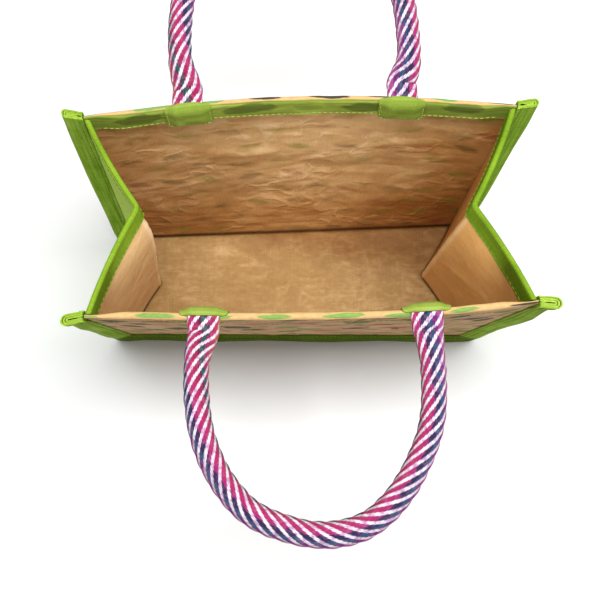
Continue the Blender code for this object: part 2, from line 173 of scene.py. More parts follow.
@dataclass(frozen=True)
class BagForm:
    """The relaxed bag: the solids' sizes and formulas for whole arrays, its folds a bit crisper."""

    rim: float = 0.240
    base: float = 0.0125
    half_width: float = 0.154
    flange: float = 0.016
    rim_shift: PerEnd = PerEnd(0.0065, 0.0025)
    base_shift: float = -0.0065
    cloth: float = 0.0022
    panel_hem: float = 0.0055
    panel_hem_drop: float = 0.0175
    gusset_hem: float = 0.0040
    gusset_hem_drop: float = 0.0245
    gusset_step: float = 0.001
    gap: float = 0.0003
    belly: float = 0.0030
    crease_inset_rim: float = 0.034
    crease_inset_base: PerEnd = PerEnd(0.0255, 0.0305)
    crease_y_rim: PerEnd = PerEnd(0.0020, -0.0030)
    crease_y_base: PerEnd = PerEnd(-0.0020, -0.0010)
    crease_rounding: float = 0.012
    crease_bow: PerEnd = PerEnd(0.0055, 0.0)
    gusset_bow: float = 0.0020
    front_folds: tuple[Fold, ...] = (
        Fold(-0.45, 0.55, 0.50, 0.16, 0.0016), Fold(0.30, 0.38, 0.55, 0.14, -0.0014),
        Fold(0.60, 0.70, 0.35, 0.12, 0.0012))
    back_folds: tuple[Fold, ...] = (
        Fold(-0.35, 0.66, 0.55, 0.10, -0.0016), Fold(0.35, 0.52, 0.50, 0.11, 0.0015),
        Fold(-0.20, 0.34, 0.60, 0.11, 0.0013), Fold(0.55, 0.26, 0.35, 0.09, -0.0012))

    def share_up(self, z: Array) -> Array:
        """0 at the base cloth, 1 at the rim."""
        return (z - self.base) / (self.rim - self.base)

    def lean(self, side: Side, z: Array) -> Array:
        """Sideways shift of a panel at a height."""
        return self.base_shift + (self.rim_shift.of(side) - self.base_shift) * self.share_up(z)

    def folds(self, side: Side, across: Array, up: Array) -> Array:
        """Outward swell of a panel's soft folds together, none at its edges."""
        chosen = self.front_folds if side is Side.FRONT else self.back_folds
        depth = sum(fold.swell(across, up) for fold in chosen)
        return depth * smooth((1.0 - np.abs(across)) / 0.15) * smooth(up / 0.1) \
            * smooth((0.88 - up) / 0.1)

    def reach(self, side: Side, across: Array, z: Array) -> Array:
        """Distance of a panel's outer face from y = 0: a straight line from base to rim, a bow
        along the rim, a belly half way up and the soft folds."""
        up = self.share_up(z)
        bow = 1.0 - across * across
        if side is Side.FRONT:
            base = 0.0543 + 0.0045 * across
            rim = 0.0750 - 0.0010 * across
            rim = rim + 0.0063 * (1.0 - np.abs(across) ** 2.6) + 0.0030 * across * bow
        else:
            base = 0.0480 + 0.0020 * across
            rim = 0.0705 + 0.0115 * bow
        swell = self.belly * np.sin(math.pi * np.clip(up, 0.0, 1.0)) * bow
        return base + (rim - base) * up + swell + self.folds(side, across, up)

    def panel_point(self, side: Side, across: Array, z: Array, inset: Array) -> Array:
        """Point of a panel, inset from its outer face towards the inside of the bag."""
        across, z, inset = np.broadcast_arrays(across, z, inset)
        y = side.value * (self.reach(side, across, z) - inset)
        return np.stack((across * self.half_width + self.lean(side, z), y, z), axis=-1)

    def gusset_corner(self, hand: Hand, side: Side, z: Array) -> Array:
        """Where a gusset's outer face meets a panel's inner face, in plan."""
        return self.panel_point(side, np.full_like(z, hand.value), z, self.cloth + 0.0006)[..., :2]

    def gusset_crease(self, hand: Hand, z: Array) -> Array:
        """The gusset's inward fold, on its outer face, in plan: a straight line from base to rim
        and a bow into the bag that is deepest at two thirds of the height."""
        up = self.share_up(z)
        low = self.crease_inset_base.of(hand)
        bow = 6.75 * up * up * (1.0 - up) * smooth((1.0 - up) / 0.22)
        inset = low + (self.crease_inset_rim - low) * up + self.crease_bow.of(hand) * bow
        middle = (self.lean(Side.FRONT, z) + self.lean(Side.BACK, z)) / 2.0
        y_low = self.crease_y_base.of(hand)
        y = y_low + (self.crease_y_rim.of(hand) - y_low) * up
        return np.stack((hand.value * (self.half_width - inset) + middle, y), axis=-1)

    def gusset_plan(self, hand: Hand, z: Array, along: Array) -> Array:
        """Plan point of a gusset's outer face, along = -1 at the front panel, 0 at the fold and
        1 at the back: a V whose point is a hyperbola, each arm bowed outwards."""
        z, along = np.broadcast_arrays(z, along)
        corner = np.where((along < 0.0)[..., None], self.gusset_corner(hand, Side.FRONT, z),
                          self.gusset_corner(hand, Side.BACK, z))
        crease = self.gusset_crease(hand, z)
        round_off = self.crease_rounding
        away = (np.hypot(along, round_off) - round_off) / (math.hypot(1.0, round_off) - round_off)
        line = crease + (corner - crease) * away[..., None]
        line[..., 1] = crease[..., 1] + (corner[..., 1] - crease[..., 1]) * np.abs(along)
        line[..., 0] += hand.value * self.gusset_bow * 4.0 * away * (1.0 - away)
        return line

    def gusset_point(self, hand: Hand, z: Array, along: Array, inset: Array) -> Array:
        """Point of a gusset, inset along the plan's inward normal from its outer face."""
        z, along, inset = np.broadcast_arrays(z, along, inset)
        step = 0.01
        here = self.gusset_plan(hand, z, along)
        run = unit(self.gusset_plan(hand, z, np.minimum(along + step, 1.0))
                   - self.gusset_plan(hand, z, np.maximum(along - step, -1.0)))
        inward = np.stack((-hand.value * run[..., 1], hand.value * run[..., 0]), axis=-1)
        end = np.abs(along) > 0.999
        flush = np.stack((-hand.value / np.abs(inward[..., 0]), np.zeros_like(along)), axis=-1)
        inward = np.where(end[..., None], flush, inward)
        here = here + inward * inset[..., None]
        return np.concatenate((here, z[..., None]), axis=-1)

    def over_rim(self, side: Side, x: Array, depth: Array, turn: Array, out: Array,
                 lift: Array) -> Array:
        """Point on a path that climbs the hem inside and turns outwards over the rim.

        Args:
            x: sideways place.
            depth: how far below the fold's centre the path still is, 0 from there on.
            turn: angle turned round the fold, 0 to a quarter circle.
            out: distance gone outwards past the fold's crest.
            lift: height above the hem's surface.

        Returns:
            The points.
        """
        radius = self.panel_hem / 2.0
        centre = self.rim - radius
        x, depth, turn, out, lift = np.broadcast_arrays(x, depth, turn, out, lift)
        z = centre - depth + (radius + lift) * np.sin(turn)
        inset = radius + (radius + lift) * np.cos(turn) - out
        face_z = np.minimum(z, self.rim)
        across = (x - self.lean(side, face_z)) / self.half_width
        y = side.value * (self.reach(side, across, face_z) - inset)
        return np.stack((x, y, z), axis=-1)


FORM = BagForm()


# ------------------------------------------------------------------ meshes
def add_object(name: str, data: Any) -> bpy.types.Object:
    """A new object for that data, linked into the scene."""
    made = bpy.data.objects.new(name, data)
    bpy.context.collection.objects.link(made)
    return made


@dataclass
class Skin:
    """Quads over a grid of points whose last column meets its first, closed by a cap at each end.

    points is (rows, columns, 3) and uv has one column more.  finish is a number per quad, 0
    everywhere if left out.  seam is 1 on the points in a seam's shadow and 0 away from it.
    """

    points: Array
    uv: Array
    finish: Array | None = None
    seam: Array | None = None

    def faces(self) -> Array:
        """The quads as point numbers: each grid cell's four corners in order."""
        rows, columns = self.points.shape[:2]
        i, j = np.arange(rows - 1)[:, None], np.arange(columns)[None, :]
        after = (j + 1) % columns
        cells = [i * columns + j, i * columns + after, (i + 1) * columns + after,
                 (i + 1) * columns + j]
        return np.stack([np.broadcast_to(c, (rows - 1, columns)) for c in cells],
                        axis=-1).reshape(-1, 4)

    def picks(self) -> Array:
        """The finish number of each quad."""
        rows, columns = self.points.shape[:2]
        if self.finish is None:
            return np.zeros((rows - 1) * columns, dtype=int)
        return self.finish.reshape(-1)

    def corner_uv(self) -> Array:
        """The map at each quad's four corners."""
        near, far = self.uv[:-1], self.uv[1:]
        cells = (near[:, :-1], near[:, 1:], far[:, 1:], far[:, :-1])
        return np.stack(cells, axis=2).reshape(-1, 4, 2)


def signed_volume(points: Array, quads: Array) -> float:
    """Sum of the tetrahedra from the centre to each quad's two triangles."""
    a, b, c, d = (points[quads[:, k]] - points.mean(axis=0) for k in range(4))
    return float((a * np.cross(b, c) + a * np.cross(c, d)).sum() / 6.0)


def build_mesh(name: str, skins: Sequence[Skin], finishes: Sequence[bpy.types.Material],
               sharp: float = 50.0) -> bpy.types.Object:
    """One object of several closed skins, its faces turned outwards.

    Args:
        name: the piece's name.
        skins: the grids to join.
        finishes: the materials that each skin's finish numbers pick from.
        sharp: angle above which an edge is not smoothed, degrees.

    Returns:
        The object, at the origin, in the scene.
    """
    points, faces, corners, picks, seams = [], [], [], [], []
    start = 0
    for skin in skins:
        flat = skin.points.reshape(-1, 3)
        quads, uv, pick = skin.faces(), skin.corner_uv(), skin.picks()
        columns = skin.points.shape[1]
        first = list(range(columns))
        ends = [first[::-1], [len(flat) - columns + k for k in first]]
        if signed_volume(flat, quads) < 0.0:
            quads, uv = quads[:, ::-1], uv[:, ::-1]
            ends = [end[::-1] for end in ends]
        grid_uv = skin.uv[:, :columns].reshape(-1, 2)
        points.append(flat)
        faces += (quads + start).tolist() + [[k + start for k in end] for end in ends]
        corners += [uv.reshape(-1, 2)] + [grid_uv[end] for end in ends]
        picks += [pick] + [pick[:1]] * len(ends)
        seams.append(np.zeros(len(flat)) if skin.seam is None else skin.seam.reshape(-1))
        start += len(flat)
    mesh = bpy.data.meshes.new(name)
    mesh.from_pydata(np.vstack(points).tolist(), [], faces)
    layer = mesh.uv_layers.new(name="cloth")
    layer.uv.foreach_set("vector", np.vstack(corners).astype(np.float32).ravel())
    # the seam attribute carries the painted seam shade to the shaders
    shadow = mesh.attributes.new("seam", "FLOAT", "POINT")
    shadow.data.foreach_set("value", np.concatenate(seams).astype(np.float32))
    for finish in finishes:
        mesh.materials.append(finish)
    mesh.polygons.foreach_set("material_index", np.concatenate(picks).astype(np.int32))
    mesh.update()
    mesh.shade_smooth()
    mesh.set_sharp_from_angle(angle=math.radians(sharp))
    piece = add_object(name, mesh)
    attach(piece, ROOT)
    log.info("%s: %d points, %d faces", name, len(mesh.vertices), len(mesh.polygons))
    return piece


@dataclass(frozen=True)
class Sewing:
    """A row of stitches: each a small lozenge of thread, half sunk in the cloth."""

    pitch: float = 0.0042
    length: float = 0.0030
    width: float = 0.0009
    height: float = 0.0006
    sunk: float = 0.0001

    def row(self, path: Array, normal: Array) -> Array:
        """Stitches along a path on the cloth.

        A stitch is a grid of five rings along its length, whose radius is three tenths at both
        ends, eight tenths near them and full in the middle.

        Args:
            path: points on the cloth.
            normal: outward directions of the cloth at those points.

        Returns:
            The stitches' grids, (count, rings, ring points, 3).
        """
        along = travelled(path)
        count = max(int(along[-1] / self.pitch), 1)
        stops = (np.arange(count) + 0.5) * along[-1] / count
        ends = [sampled(stops + shift, along, path)
                for shift in (-self.length / 2.0, 0.0, self.length / 2.0)]
        up = unit(sampled(stops, along, normal))
        run = unit(ends[2] - ends[0])
        side = unit(np.cross(up, run))
        t = np.array((-1.0, -0.72, 0.0, 0.72, 1.0))
        girth = np.array((0.30, 0.80, 1.0, 0.80, 0.30))[:, None]
        turn = np.arange(6) * math.pi / 3.0
        long = (t * self.length / 2.0)[None, :, None, None]
        wide = (girth * np.cos(turn) * self.width / 2.0)[None, :, :, None]
        high = (girth * np.sin(turn) * self.height)[None, :, :, None]
        centre, run, side, up = (rows[:, None, None, :]
                                 for rows in (ends[1] + up * self.sunk, run, side, up))
        return centre + run * long + side * wide + up * high


def stitch_piece(name: str, rows: Sequence[Array], finish: bpy.types.Material
                 ) -> bpy.types.Object:
    """One object of many stitches.

    Args:
        name: the piece's name.
        rows: arrays of stitches, each (count, rings, ring points, 3).
        finish: the thread's material.

    Returns:
        The object.
    """
    stitches = np.concatenate(rows)
    uv = np.zeros(stitches.shape[1:2] + (stitches.shape[2] + 1, 2))
    uv[..., 0] = np.linspace(0.0, 1.0, uv.shape[1])[None, :]
    uv[..., 1] = np.linspace(0.0, 1.0, uv.shape[0])[:, None]
    return build_mesh(name, [Skin(one, uv) for one in stitches], [finish], sharp=70.0)


# ------------------------------------------------------------------ shader values
def maths(operation: str, swapped: bool = False) -> Callable[..., "Value"]:
    """A method that adds a Math node of the value and the others, or of the others first."""

    def method(self: "Value", *others: "Value | float") -> "Value":
        """The node's result."""
        inputs = (*others, self) if swapped else (self, *others)
        return self.dye.node("ShaderNodeMath", {"operation": operation}, dict(enumerate(inputs)))

    return method


class Value:
    """One shader socket; the usual operators and the methods below add nodes to its tree."""

    __add__ = __radd__ = maths("ADD")
    __sub__, __rsub__ = maths("SUBTRACT"), maths("SUBTRACT", swapped=True)
    __mul__ = __rmul__ = maths("MULTIPLY")
    __truediv__ = maths("DIVIDE")
    sin, cos, root = maths("SINE"), maths("COSINE"), maths("SQRT")
    floor, frac, abs = maths("FLOOR"), maths("FRACT"), maths("ABSOLUTE")
    least, most = maths("MINIMUM"), maths("MAXIMUM")

    def __init__(self, dye: "DyeBath", socket: Any) -> None:
        """Wrap a node's output socket."""
        self.dye, self.socket = dye, socket

    def zigzag(self) -> "Value":
        """1 at whole numbers, 0 half way between them, straight in between."""
        return (self.frac() - 0.5).abs() * 2.0

    def squared(self) -> "Value":
        """Product with itself."""
        return self * self

    def ease(self, low: float, high: float) -> "Value":
        """0 below low, 1 above high and smooth between; low may be the larger."""
        return self.dye.node("ShaderNodeMapRange", {"interpolation_type": "SMOOTHSTEP"},
                             {"Value": self, "From Min": low, "From Max": high})


class DyeBath:
    """A material in the making: its node tree, with one method for any node."""

    def __init__(self, name: str, roughness: float, gloss: float = 0.1,
                 sheen: float = 0.0) -> None:
        """Start a Principled material whose constant numbers sit on its own sockets."""
        self.material = bpy.data.materials.new(name)
        self.material.use_nodes = True
        self.tree = self.material.node_tree
        self.shader = self.tree.nodes["Principled BSDF"]
        self.shader.inputs["Roughness"].default_value = roughness
        self.shader.inputs["Sheen Weight"].default_value = sheen
        self.shader.inputs["Sheen Roughness"].default_value = 0.55
        self.shader.inputs["Specular IOR Level"].default_value = gloss

    def node(self, kind: str, settings: dict[str, Any], sockets: dict[Any, Any],
             output: int | str = 0) -> Value:
        """Add a node: its settings first, then its sockets, as numbers or links.

        Args:
            kind: the node's type.
            settings: attributes of the node.
            sockets: values or Values by socket name or number.
            output: the output wanted.

        Returns:
            That output.
        """
        made = self.tree.nodes.new(kind)
        for key, value in settings.items():
            setattr(made, key, value)
        for key, value in sockets.items():
            if isinstance(value, Value):
                self.tree.links.new(value.socket, made.inputs[key])
            else:
                made.inputs[key].default_value = value
        return Value(self, made.outputs[output])

    def ramp(self, factor: Value, stops: Sequence[tuple[float, Colour]],
             steps: bool = False) -> Value:
        """A colour ramp of (place, colour) stops, in steps or blended."""
        made = self.node("ShaderNodeValToRGB", {}, {"Fac": factor})
        ramp = made.socket.node.color_ramp
        ramp.interpolation = "CONSTANT" if steps else "LINEAR"
        for spare in list(ramp.elements)[1:]:
            ramp.elements.remove(spare)
        for k, (place, colour) in enumerate(stops):
            element = ramp.elements[0] if k == 0 else ramp.elements.new(place)
            element.position = place
            element.color = (*colour, 1.0)
        return made

    def mix(self, factor: Value | float, a: Value | Colour, b: Value | Colour,
            blend: str = "MIX") -> Value:
        """Blend two colours."""
        a = a if isinstance(a, Value) else (*a, 1.0)
        b = b if isinstance(b, Value) else (*b, 1.0)
        return self.node("ShaderNodeMix", {"data_type": "RGBA", "blend_type": blend},
                         {0: factor, 6: a, 7: b}, 2)

    @cached_property
    def cloth(self) -> tuple[Value, Value]:
        """The piece's own map, in metres, as two values."""
        uv = self.node("ShaderNodeUVMap", {"uv_map": "cloth"}, {})
        split = self.node("ShaderNodeSeparateXYZ", {}, {0: uv})
        return split, Value(self, split.socket.node.outputs[1])

    def place(self) -> Value:
        """Object coordinates."""
        return self.node("ShaderNodeTexCoord", {}, {}, "Object")

    def pair(self, x: Value | float, y: Value | float) -> Value:
        """Two values as a vector."""
        return self.node("ShaderNodeCombineXYZ", {}, {0: x, 1: y})

    def noise(self, vector: Value, scale: float, detail: float = 2.0) -> Value:
        """Soft noise from 0 to 1."""
        return self.node("ShaderNodeTexNoise", {"noise_dimensions": "3D"},
                         {"Vector": vector, "Scale": scale, "Detail": detail})

    def grain(self, x: Value, y: Value | float, detail: float) -> Value:
        """Soft noise from 0 to 1 over two values, in cells of about 1."""
        return self.noise(self.pair(x, y), 1.0, detail)

    def chance(self, x: Value | float, y: Value | float) -> Value:
        """One random number from 0 to 1 for each whole place."""
        return self.node("ShaderNodeTexWhiteNoise", {"noise_dimensions": "2D"},
                         {"Vector": self.pair(x, y)})

    def stain_and_shade(self, colour: Value, share: Value, hue: Colour) -> Value:
        """The colour multiplied by a hue, by that share: print bleed and painted shade."""
        return self.mix(share, colour, hue, "MULTIPLY")

    def finish(self, colour: Value, height: Value | None = None, depth: float = 0.0005,
               grip: float = 1.0) -> bpy.types.Material:
        """Link the colour and the relief to the shader.

        Args:
            colour: base colour.
            height: relief from 0 to 1.
            depth: what 1 stands for, metres.
            grip: strength of the relief.

        Returns:
            The material.
        """
        self.tree.links.new(colour.socket, self.shader.inputs["Base Color"])
        if height is not None:
            bump = self.node("ShaderNodeBump", {},
                             {"Strength": grip, "Distance": depth, "Height": height})
            self.tree.links.new(bump.socket, self.shader.inputs["Normal"])
        return self.material


# ------------------------------------------------------------------ finishes
@dataclass(frozen=True)
class Weave:
    """Plain weave of uneven yarns: the yarns' spacing and how much they wander."""

    warp: float = 0.00130
    weft: float = 0.00140
    wander: float = 0.00060

    def threads(self, dye: DyeBath) -> tuple[Value, Value, Value]:
        """Relief and tone of the cloth.

        A yarn's height across itself is half a sine wave; where it passes over it also rises
        along itself, and warp and weft take turns like the squares of a board.

        Args:
            dye: the material in the making.

        Returns:
            Relief from 0 to 1, a random tone from 0 to 1 for each yarn, and slubs from 0 to 1.
        """
        u, v = dye.cloth
        place = dye.pair(u, v)
        drift = dye.noise(place, 90.0, 1.0)
        drift_two = dye.noise(place, 110.0, 1.0)
        x = (u + (drift - 0.5) * (2.0 * self.wander)) / self.warp
        y = (v + (drift_two - 0.5) * (2.0 * self.wander)) / self.weft
        column, line = x.floor(), y.floor()
        turn = ((column + line) * 0.5).frac() * 2.0
        across_x = (x.frac() * math.pi).sin()
        across_y = (y.frac() * math.pi).sin()
        warp = across_x * (0.45 + 0.55 * across_y) * (0.35 + 0.65 * turn)
        weft = across_y * (0.45 + 0.55 * across_x) * (1.0 - 0.65 * turn)
        relief = warp.most(weft)
        warp_tone = dye.chance(column, 3.0)
        weft_tone = dye.chance(7.0, line)
        tone = warp_tone * turn + weft_tone * (1.0 - turn)
        slub_u = dye.grain(x * 0.11, y * 1.3, 2.0)
        slub_v = dye.grain(x * 1.3, y * 0.11, 2.0)
        slub = slub_u * (1.0 - turn) + slub_v * turn
        return relief, tone, slub


@dataclass(frozen=True)
class Print:
    """The printed side: scattered plain leaves, ovals and short dashes."""

    leaf_cell: tuple[float, float] = (0.034, 0.024)
    leaf: tuple[float, float] = (0.0125, 0.0058)
    oval_cell: tuple[float, float] = (0.0235, 0.0175)
    oval: tuple[float, float] = (0.0048, 0.0023)
    dash_cell: tuple[float, float] = (0.057, 0.0215)
    dash: tuple[float, float] = (0.0075, 0.0012)
    hues: tuple[tuple[float, Colour], ...] = (
        (0.00, (0.070, 0.160, 0.012)), (0.26, (0.330, 0.050, 0.035)), (0.42, (0.015, 0.035, 0.018)),
        (0.58, (0.150, 0.250, 0.020)), (0.76, (0.430, 0.150, 0.090)), (0.88, (0.030, 0.028, 0.034)))

    @staticmethod
    def scatter(dye: DyeBath, cell: tuple[float, float], spin: float, jitter: float,
                seed: float) -> tuple[Value, Value, Value]:
        """Cut the cloth into cells and turn each one's own coordinates by chance.

        Args:
            dye: the material in the making.
            cell: width and height of a cell.
            spin: most that a motif turns, radians either way.
            jitter: most that it moves, as a share of the cell.
            seed: picks the chances.

        Returns:
            Coordinates along and across the motif, and its own random number.
        """
        u, v = dye.cloth
        y = v / cell[1] + seed
        row = y.floor()
        x = u / cell[0] + row * 0.5 + seed
        column = x.floor()
        one = dye.chance(column + seed, row)
        two = dye.chance(column, row + 11.0 + seed)
        three = dye.chance(column + 5.0, row + 23.0 + seed)
        px = (x.frac() - 0.5 + (two - 0.5) * jitter) * cell[0]
        py = (y.frac() - 0.5 + (three - 0.5) * jitter) * cell[1]
        angle = (one - 0.5) * (2.0 * spin)
        c, s = angle.cos(), angle.sin()
        return px * c + py * s, py * c - px * s, dye.chance(row + 2.0, column + seed)

    def motifs(self, dye: DyeBath, soft: float) -> tuple[Value, Value]:
        """Mask and colour of the scattered motifs.

        A leaf is the space between two parabolas with a thin vein left out, an oval is an
        ellipse, and a dash a short bar.

        Args:
            dye: the material in the making.
            soft: how far an edge blurs, metres.

        Returns:
            The mask from 0 to 1, and the colour.
        """
        along, across, pick = self.scatter(dye, self.leaf_cell, 0.5, 0.35, 3.0)
        half, high = self.leaf
        edge = high * (1.0 - (along / half).squared()) - across.abs()
        leaf = edge.ease(-soft * 0.5, soft) * (across.abs() / 0.0007 + soft * 400.0).least(1.0)
        colour = dye.ramp(pick, self.hues, steps=True)
        along, across, pick_two = self.scatter(dye, self.oval_cell, 0.7, 0.35, 8.0)
        half, high = self.oval
        inside = 1.0 - ((along / half).squared() + (across / high).squared()).root()
        oval = (inside * high).ease(-soft * 0.3, soft) * pick_two.ease(0.35, 0.36)
        colour_two = dye.ramp((pick_two * 3.7).frac(), self.hues, steps=True)
        along, across, pick_three = self.scatter(dye, self.dash_cell, 0.25, 0.4, 5.0)
        half, high = self.dash
        bar = (half - along.abs()).least(high - across.abs())
        dash = bar.ease(-soft * 0.3, soft) * pick_three.ease(0.45, 0.46)
        colour = dye.mix(oval, colour, colour_two)
        colour = dye.mix(dash, colour, (0.025, 0.035, 0.030))
        return leaf.most(oval).most(dash), colour

    @staticmethod
    def streaks(dye: DyeBath, pitch: float, middle: float, half: tuple[float, float],
                seed: float) -> tuple[Value, Value]:
        """A row of long painted strokes at one height, of uneven length and with rough edges.

        A stroke is an ellipse that soft noise pushes in and out.

        Args:
            dye: the material in the making.
            pitch: mean spacing of the strokes.
            middle: their map height.
            half: their half length and half height.
            seed: picks the chances.

        Returns:
            The mask from 0 to 1, and each stroke's own random number.
        """
        u, v = dye.cloth
        x = u / pitch + seed
        cell = x.floor()
        pick = dye.chance(cell, seed)
        length = 0.60 + 0.55 * dye.chance(cell, seed + 4.0)
        along = (x.frac() - 0.5 + (pick - 0.5) * 0.30) * (pitch / half[0]) / length
        rough = dye.grain(u * 110.0, v * 300.0 + seed, 3.0) - 0.5
        wave = dye.grain(u * 22.0, seed, 1.0) - 0.5
        across = (v - middle) / half[1] + (pick - 0.5) * 0.7 + wave * 1.6
        inside = 1.0 - along.squared() - across.squared() + rough * 1.5
        return inside.ease(0.0, 0.45), (pick * 7.3).frac()


def cloudy(dye: DyeBath, u: Value, v: Value) -> Value:
    """Soft noise about 0 that makes the edges of broad painted shade and of print bleed uneven."""
    return (dye.grain(u * 24.0, v * 30.0, 2.0) - 0.5) * 1.1


@dataclass(frozen=True)
class Jute:
    """Natural jute: its tones from the darkest yarn to the lightest."""

    dark: Colour = (0.410, 0.205, 0.055)
    middle: Colour = (0.640, 0.410, 0.185)
    light: Colour = (0.860, 0.630, 0.370)
    weave: Weave = Weave()
    rim_fold: float = 0.2252
    lip: tuple[float, float] = (0.2466, 0.2474)

    def ground(self, dye: DyeBath, tones: Sequence[Colour], drawn: float = 1.0,
               lively: float = 1.0, fine: float = 0.0) -> tuple[Value, Value]:
        """Colour and relief of the bare cloth in three tones, with painted seam shade.

        Args:
            dye: the material in the making.
            tones: dark, middle and light.
            drawn: how far blotches and wrinkles are drawn out along the weft.
            lively: strength of the blotches and wrinkles.
            fine: strength of the small flecks.

        Returns:
            Base colour, and relief from 0 to 1.
        """
        u, v = dye.cloth
        relief, tone, slub = self.weave.threads(dye)
        cloud = dye.noise(dye.place(), 24.0, 3.0)
        bend = (dye.grain(u * 42.0, v * 42.0, 1.0) - 0.5) * 0.020
        x, y = u + bend, v - bend * 0.7
        blotch = dye.grain(x * 56.0, y * (56.0 * drawn), 3.0)
        where = dye.grain(u * 20.0, v * 24.0 + 5.0, 1.0).ease(0.40, 0.62)
        wrinkle = (1.0 - ((dye.grain(x * 40.0, y * (40.0 * drawn), 1.5) - 0.5).abs()
                          * 11.0).least(1.0)) * where
        # the relief term makes the weave's hollows a little darker: painted shade
        shade = 0.05 * relief + 0.06 * tone + 0.22 * slub + 0.50 * (cloud - 0.5) \
            + (0.46 * lively) * (blotch - 0.5) + (0.14 * lively) * wrinkle + 0.31
        if fine > 0.0:
            fleck = dye.grain(u * 190.0, v * 260.0, 2.0)
            shade = shade + (fleck - 0.5) * fine
            relief = relief + (fleck - 0.5) * (3.0 * fine)
        colour = dye.ramp(shade, ((0.12, tones[0]), (0.50, tones[1]), (0.88, tones[2])))
        # painted shade: the cloth darkened to deep brown where the seam attribute marks a seam's
        # shadow
        seam = dye.node("ShaderNodeAttribute", {"attribute_name": "seam"}, {}, "Fac")
        colour = dye.mix(seam * 0.85, colour, (0.055, 0.022, 0.006))
        return colour, (relief * 0.12 + slub * 0.16 + blotch * (0.50 * lively)
                        + wrinkle * (0.62 * lively))

    def inside(self) -> bpy.types.Material:
        """The unprinted side, the print just showing through it; painted shade at ends and bottom.
        """
        dye = DyeBath("jute_inside", 0.55, 0.18)
        u, v = dye.cloth
        colour, relief = self.ground(dye, (self.dark, self.middle, self.light), 1.15)
        # painted shade: deeper towards the cloth's right end
        far = (u * 9.0 - v * 2.2 + cloudy(dye, u, v)).ease(0.15, 0.95)
        colour = dye.stain_and_shade(colour, far * 0.75, (0.62, 0.42, 0.20))
        corner = (u * 34.0 - 3.3 + cloudy(dye, v, u) * 1.2).ease(0.10, 1.10)
        colour = dye.stain_and_shade(colour, corner * 0.12, (0.58, 0.50, 0.26))
        # painted shade: darker towards the cloth's left end
        near = (u * -11.0 + v * 1.5 + cloudy(dye, u, v)).ease(0.20, 1.10)
        colour = dye.stain_and_shade(colour, near * 0.80, (0.72, 0.65, 0.56))
        # painted shade: deeper and warmer towards the bottom of the cloth
        low = (v + cloudy(dye, v, u) * 0.012).ease(0.092, 0.046)
        colour = dye.stain_and_shade(colour, low * 0.80, (0.78, 0.61, 0.42))
        mask, ink = Print().motifs(dye, 0.0040)
        worn = dye.noise(dye.pair(u, v), 60.0, 2.0).ease(0.30, 0.75)
        ink = dye.mix(0.36, ink, (0.30, 0.16, 0.03))
        colour = dye.mix(mask * (0.16 + 0.44 * worn + 0.22 * corner), colour, ink)
        return dye.finish(colour, relief, 0.00112, grip=0.9)

    def plain(self, name: str, tones: Sequence[Colour], drawn: float = 1.0, lively: float = 1.0,
              fold: float = 0.0, painted_shade: float = 0.0, deep: float = 0.0,
              fine: float = 0.0) -> bpy.types.Material:
        """Unprinted cloth with nothing behind it.

        Args:
            name: the material's name.
            tones: dark, middle and light.
            drawn: how far blotches and wrinkles are drawn out along the weft.
            lively: strength of the blotches and wrinkles.
            fold: strength of a painted highlight along its middle fold.
            painted_shade: strength of the painted shade over its half beyond that fold.
            deep: strength of the painted shade that deepens the cloth towards the back and the
                right.
            fine: strength of the small flecks.

        Returns:
            The material.
        """
        dye = DyeBath(name, 0.60, 0.15)
        u, v = dye.cloth
        colour, relief = self.ground(dye, tones, drawn, lively, fine)
        # painted shade over the half beyond the middle fold
        colour = dye.stain_and_shade(colour, u.ease(0.0030, 0.0110) * painted_shade, (0.60, 0.44, 0.28))
        # painted highlight along the middle fold
        colour = dye.mix(u.abs().ease(0.0044, 0.0008) * fold, colour, (0.92, 0.74, 0.48))
        # painted shade, deeper towards the back and the right
        if deep > 0.0:
            far = (v * 24.0 + u * 5.5 + cloudy(dye, u, v)).ease(0.15, 1.05)
            colour = dye.stain_and_shade(colour, far * deep, (0.58, 0.42, 0.28))
        return dye.finish(colour, relief, 0.00060, grip=0.8)

    def printed(self, name: str, hem: float, black: float) -> bpy.types.Material:
        """The printed side, its pale band beginning at the rim's fold.

        Args:
            name: the material's name.
            hem: map height at which the green hem begins.
            black: share of the rim's strokes that are black, the others green.

        Returns:
            The material.
        """
        dye = DyeBath(name, 0.75)
        u, v = dye.cloth
        # the printed side's ground, in deeper tones than the unprinted side
        printed_tones = ((0.340, 0.180, 0.075), (0.520, 0.310, 0.150), (0.700, 0.460, 0.250))
        colour, relief = self.ground(dye, printed_tones)
        mask, ink = Print().motifs(dye, 0.0006)
        colour = dye.mix(mask * 0.88, colour, ink)
        grain = dye.grain(u * 260.0, v * 700.0, 2.0)
        pale = dye.mix(grain, (0.440, 0.250, 0.090), (0.660, 0.450, 0.215))
        fold, soft = self.rim_fold, 0.0006
        level = (fold + hem) / 2.0
        stroke, pick = Print.streaks(dye, 0.0430, level, (0.0165, 0.0020), 3.0)
        green_ink = dye.mix(grain, (0.080, 0.220, 0.040), (0.230, 0.380, 0.085))
        inks = dye.mix(pick.ease(1.0 - black, 1.005 - black), green_ink, (0.020, 0.022, 0.020))
        pale = dye.mix(stroke * 0.94, pale, inks)
        colour = dye.mix((v + (grain - 0.5) * 0.0012).ease(fold - soft, fold + soft),
                         colour, pale)
        streak = dye.grain(u * 26.0, v * 520.0, 3.0)
        green = dye.mix(streak.ease(0.30, 0.72), (0.205, 0.290, 0.034), (0.340, 0.430, 0.073))
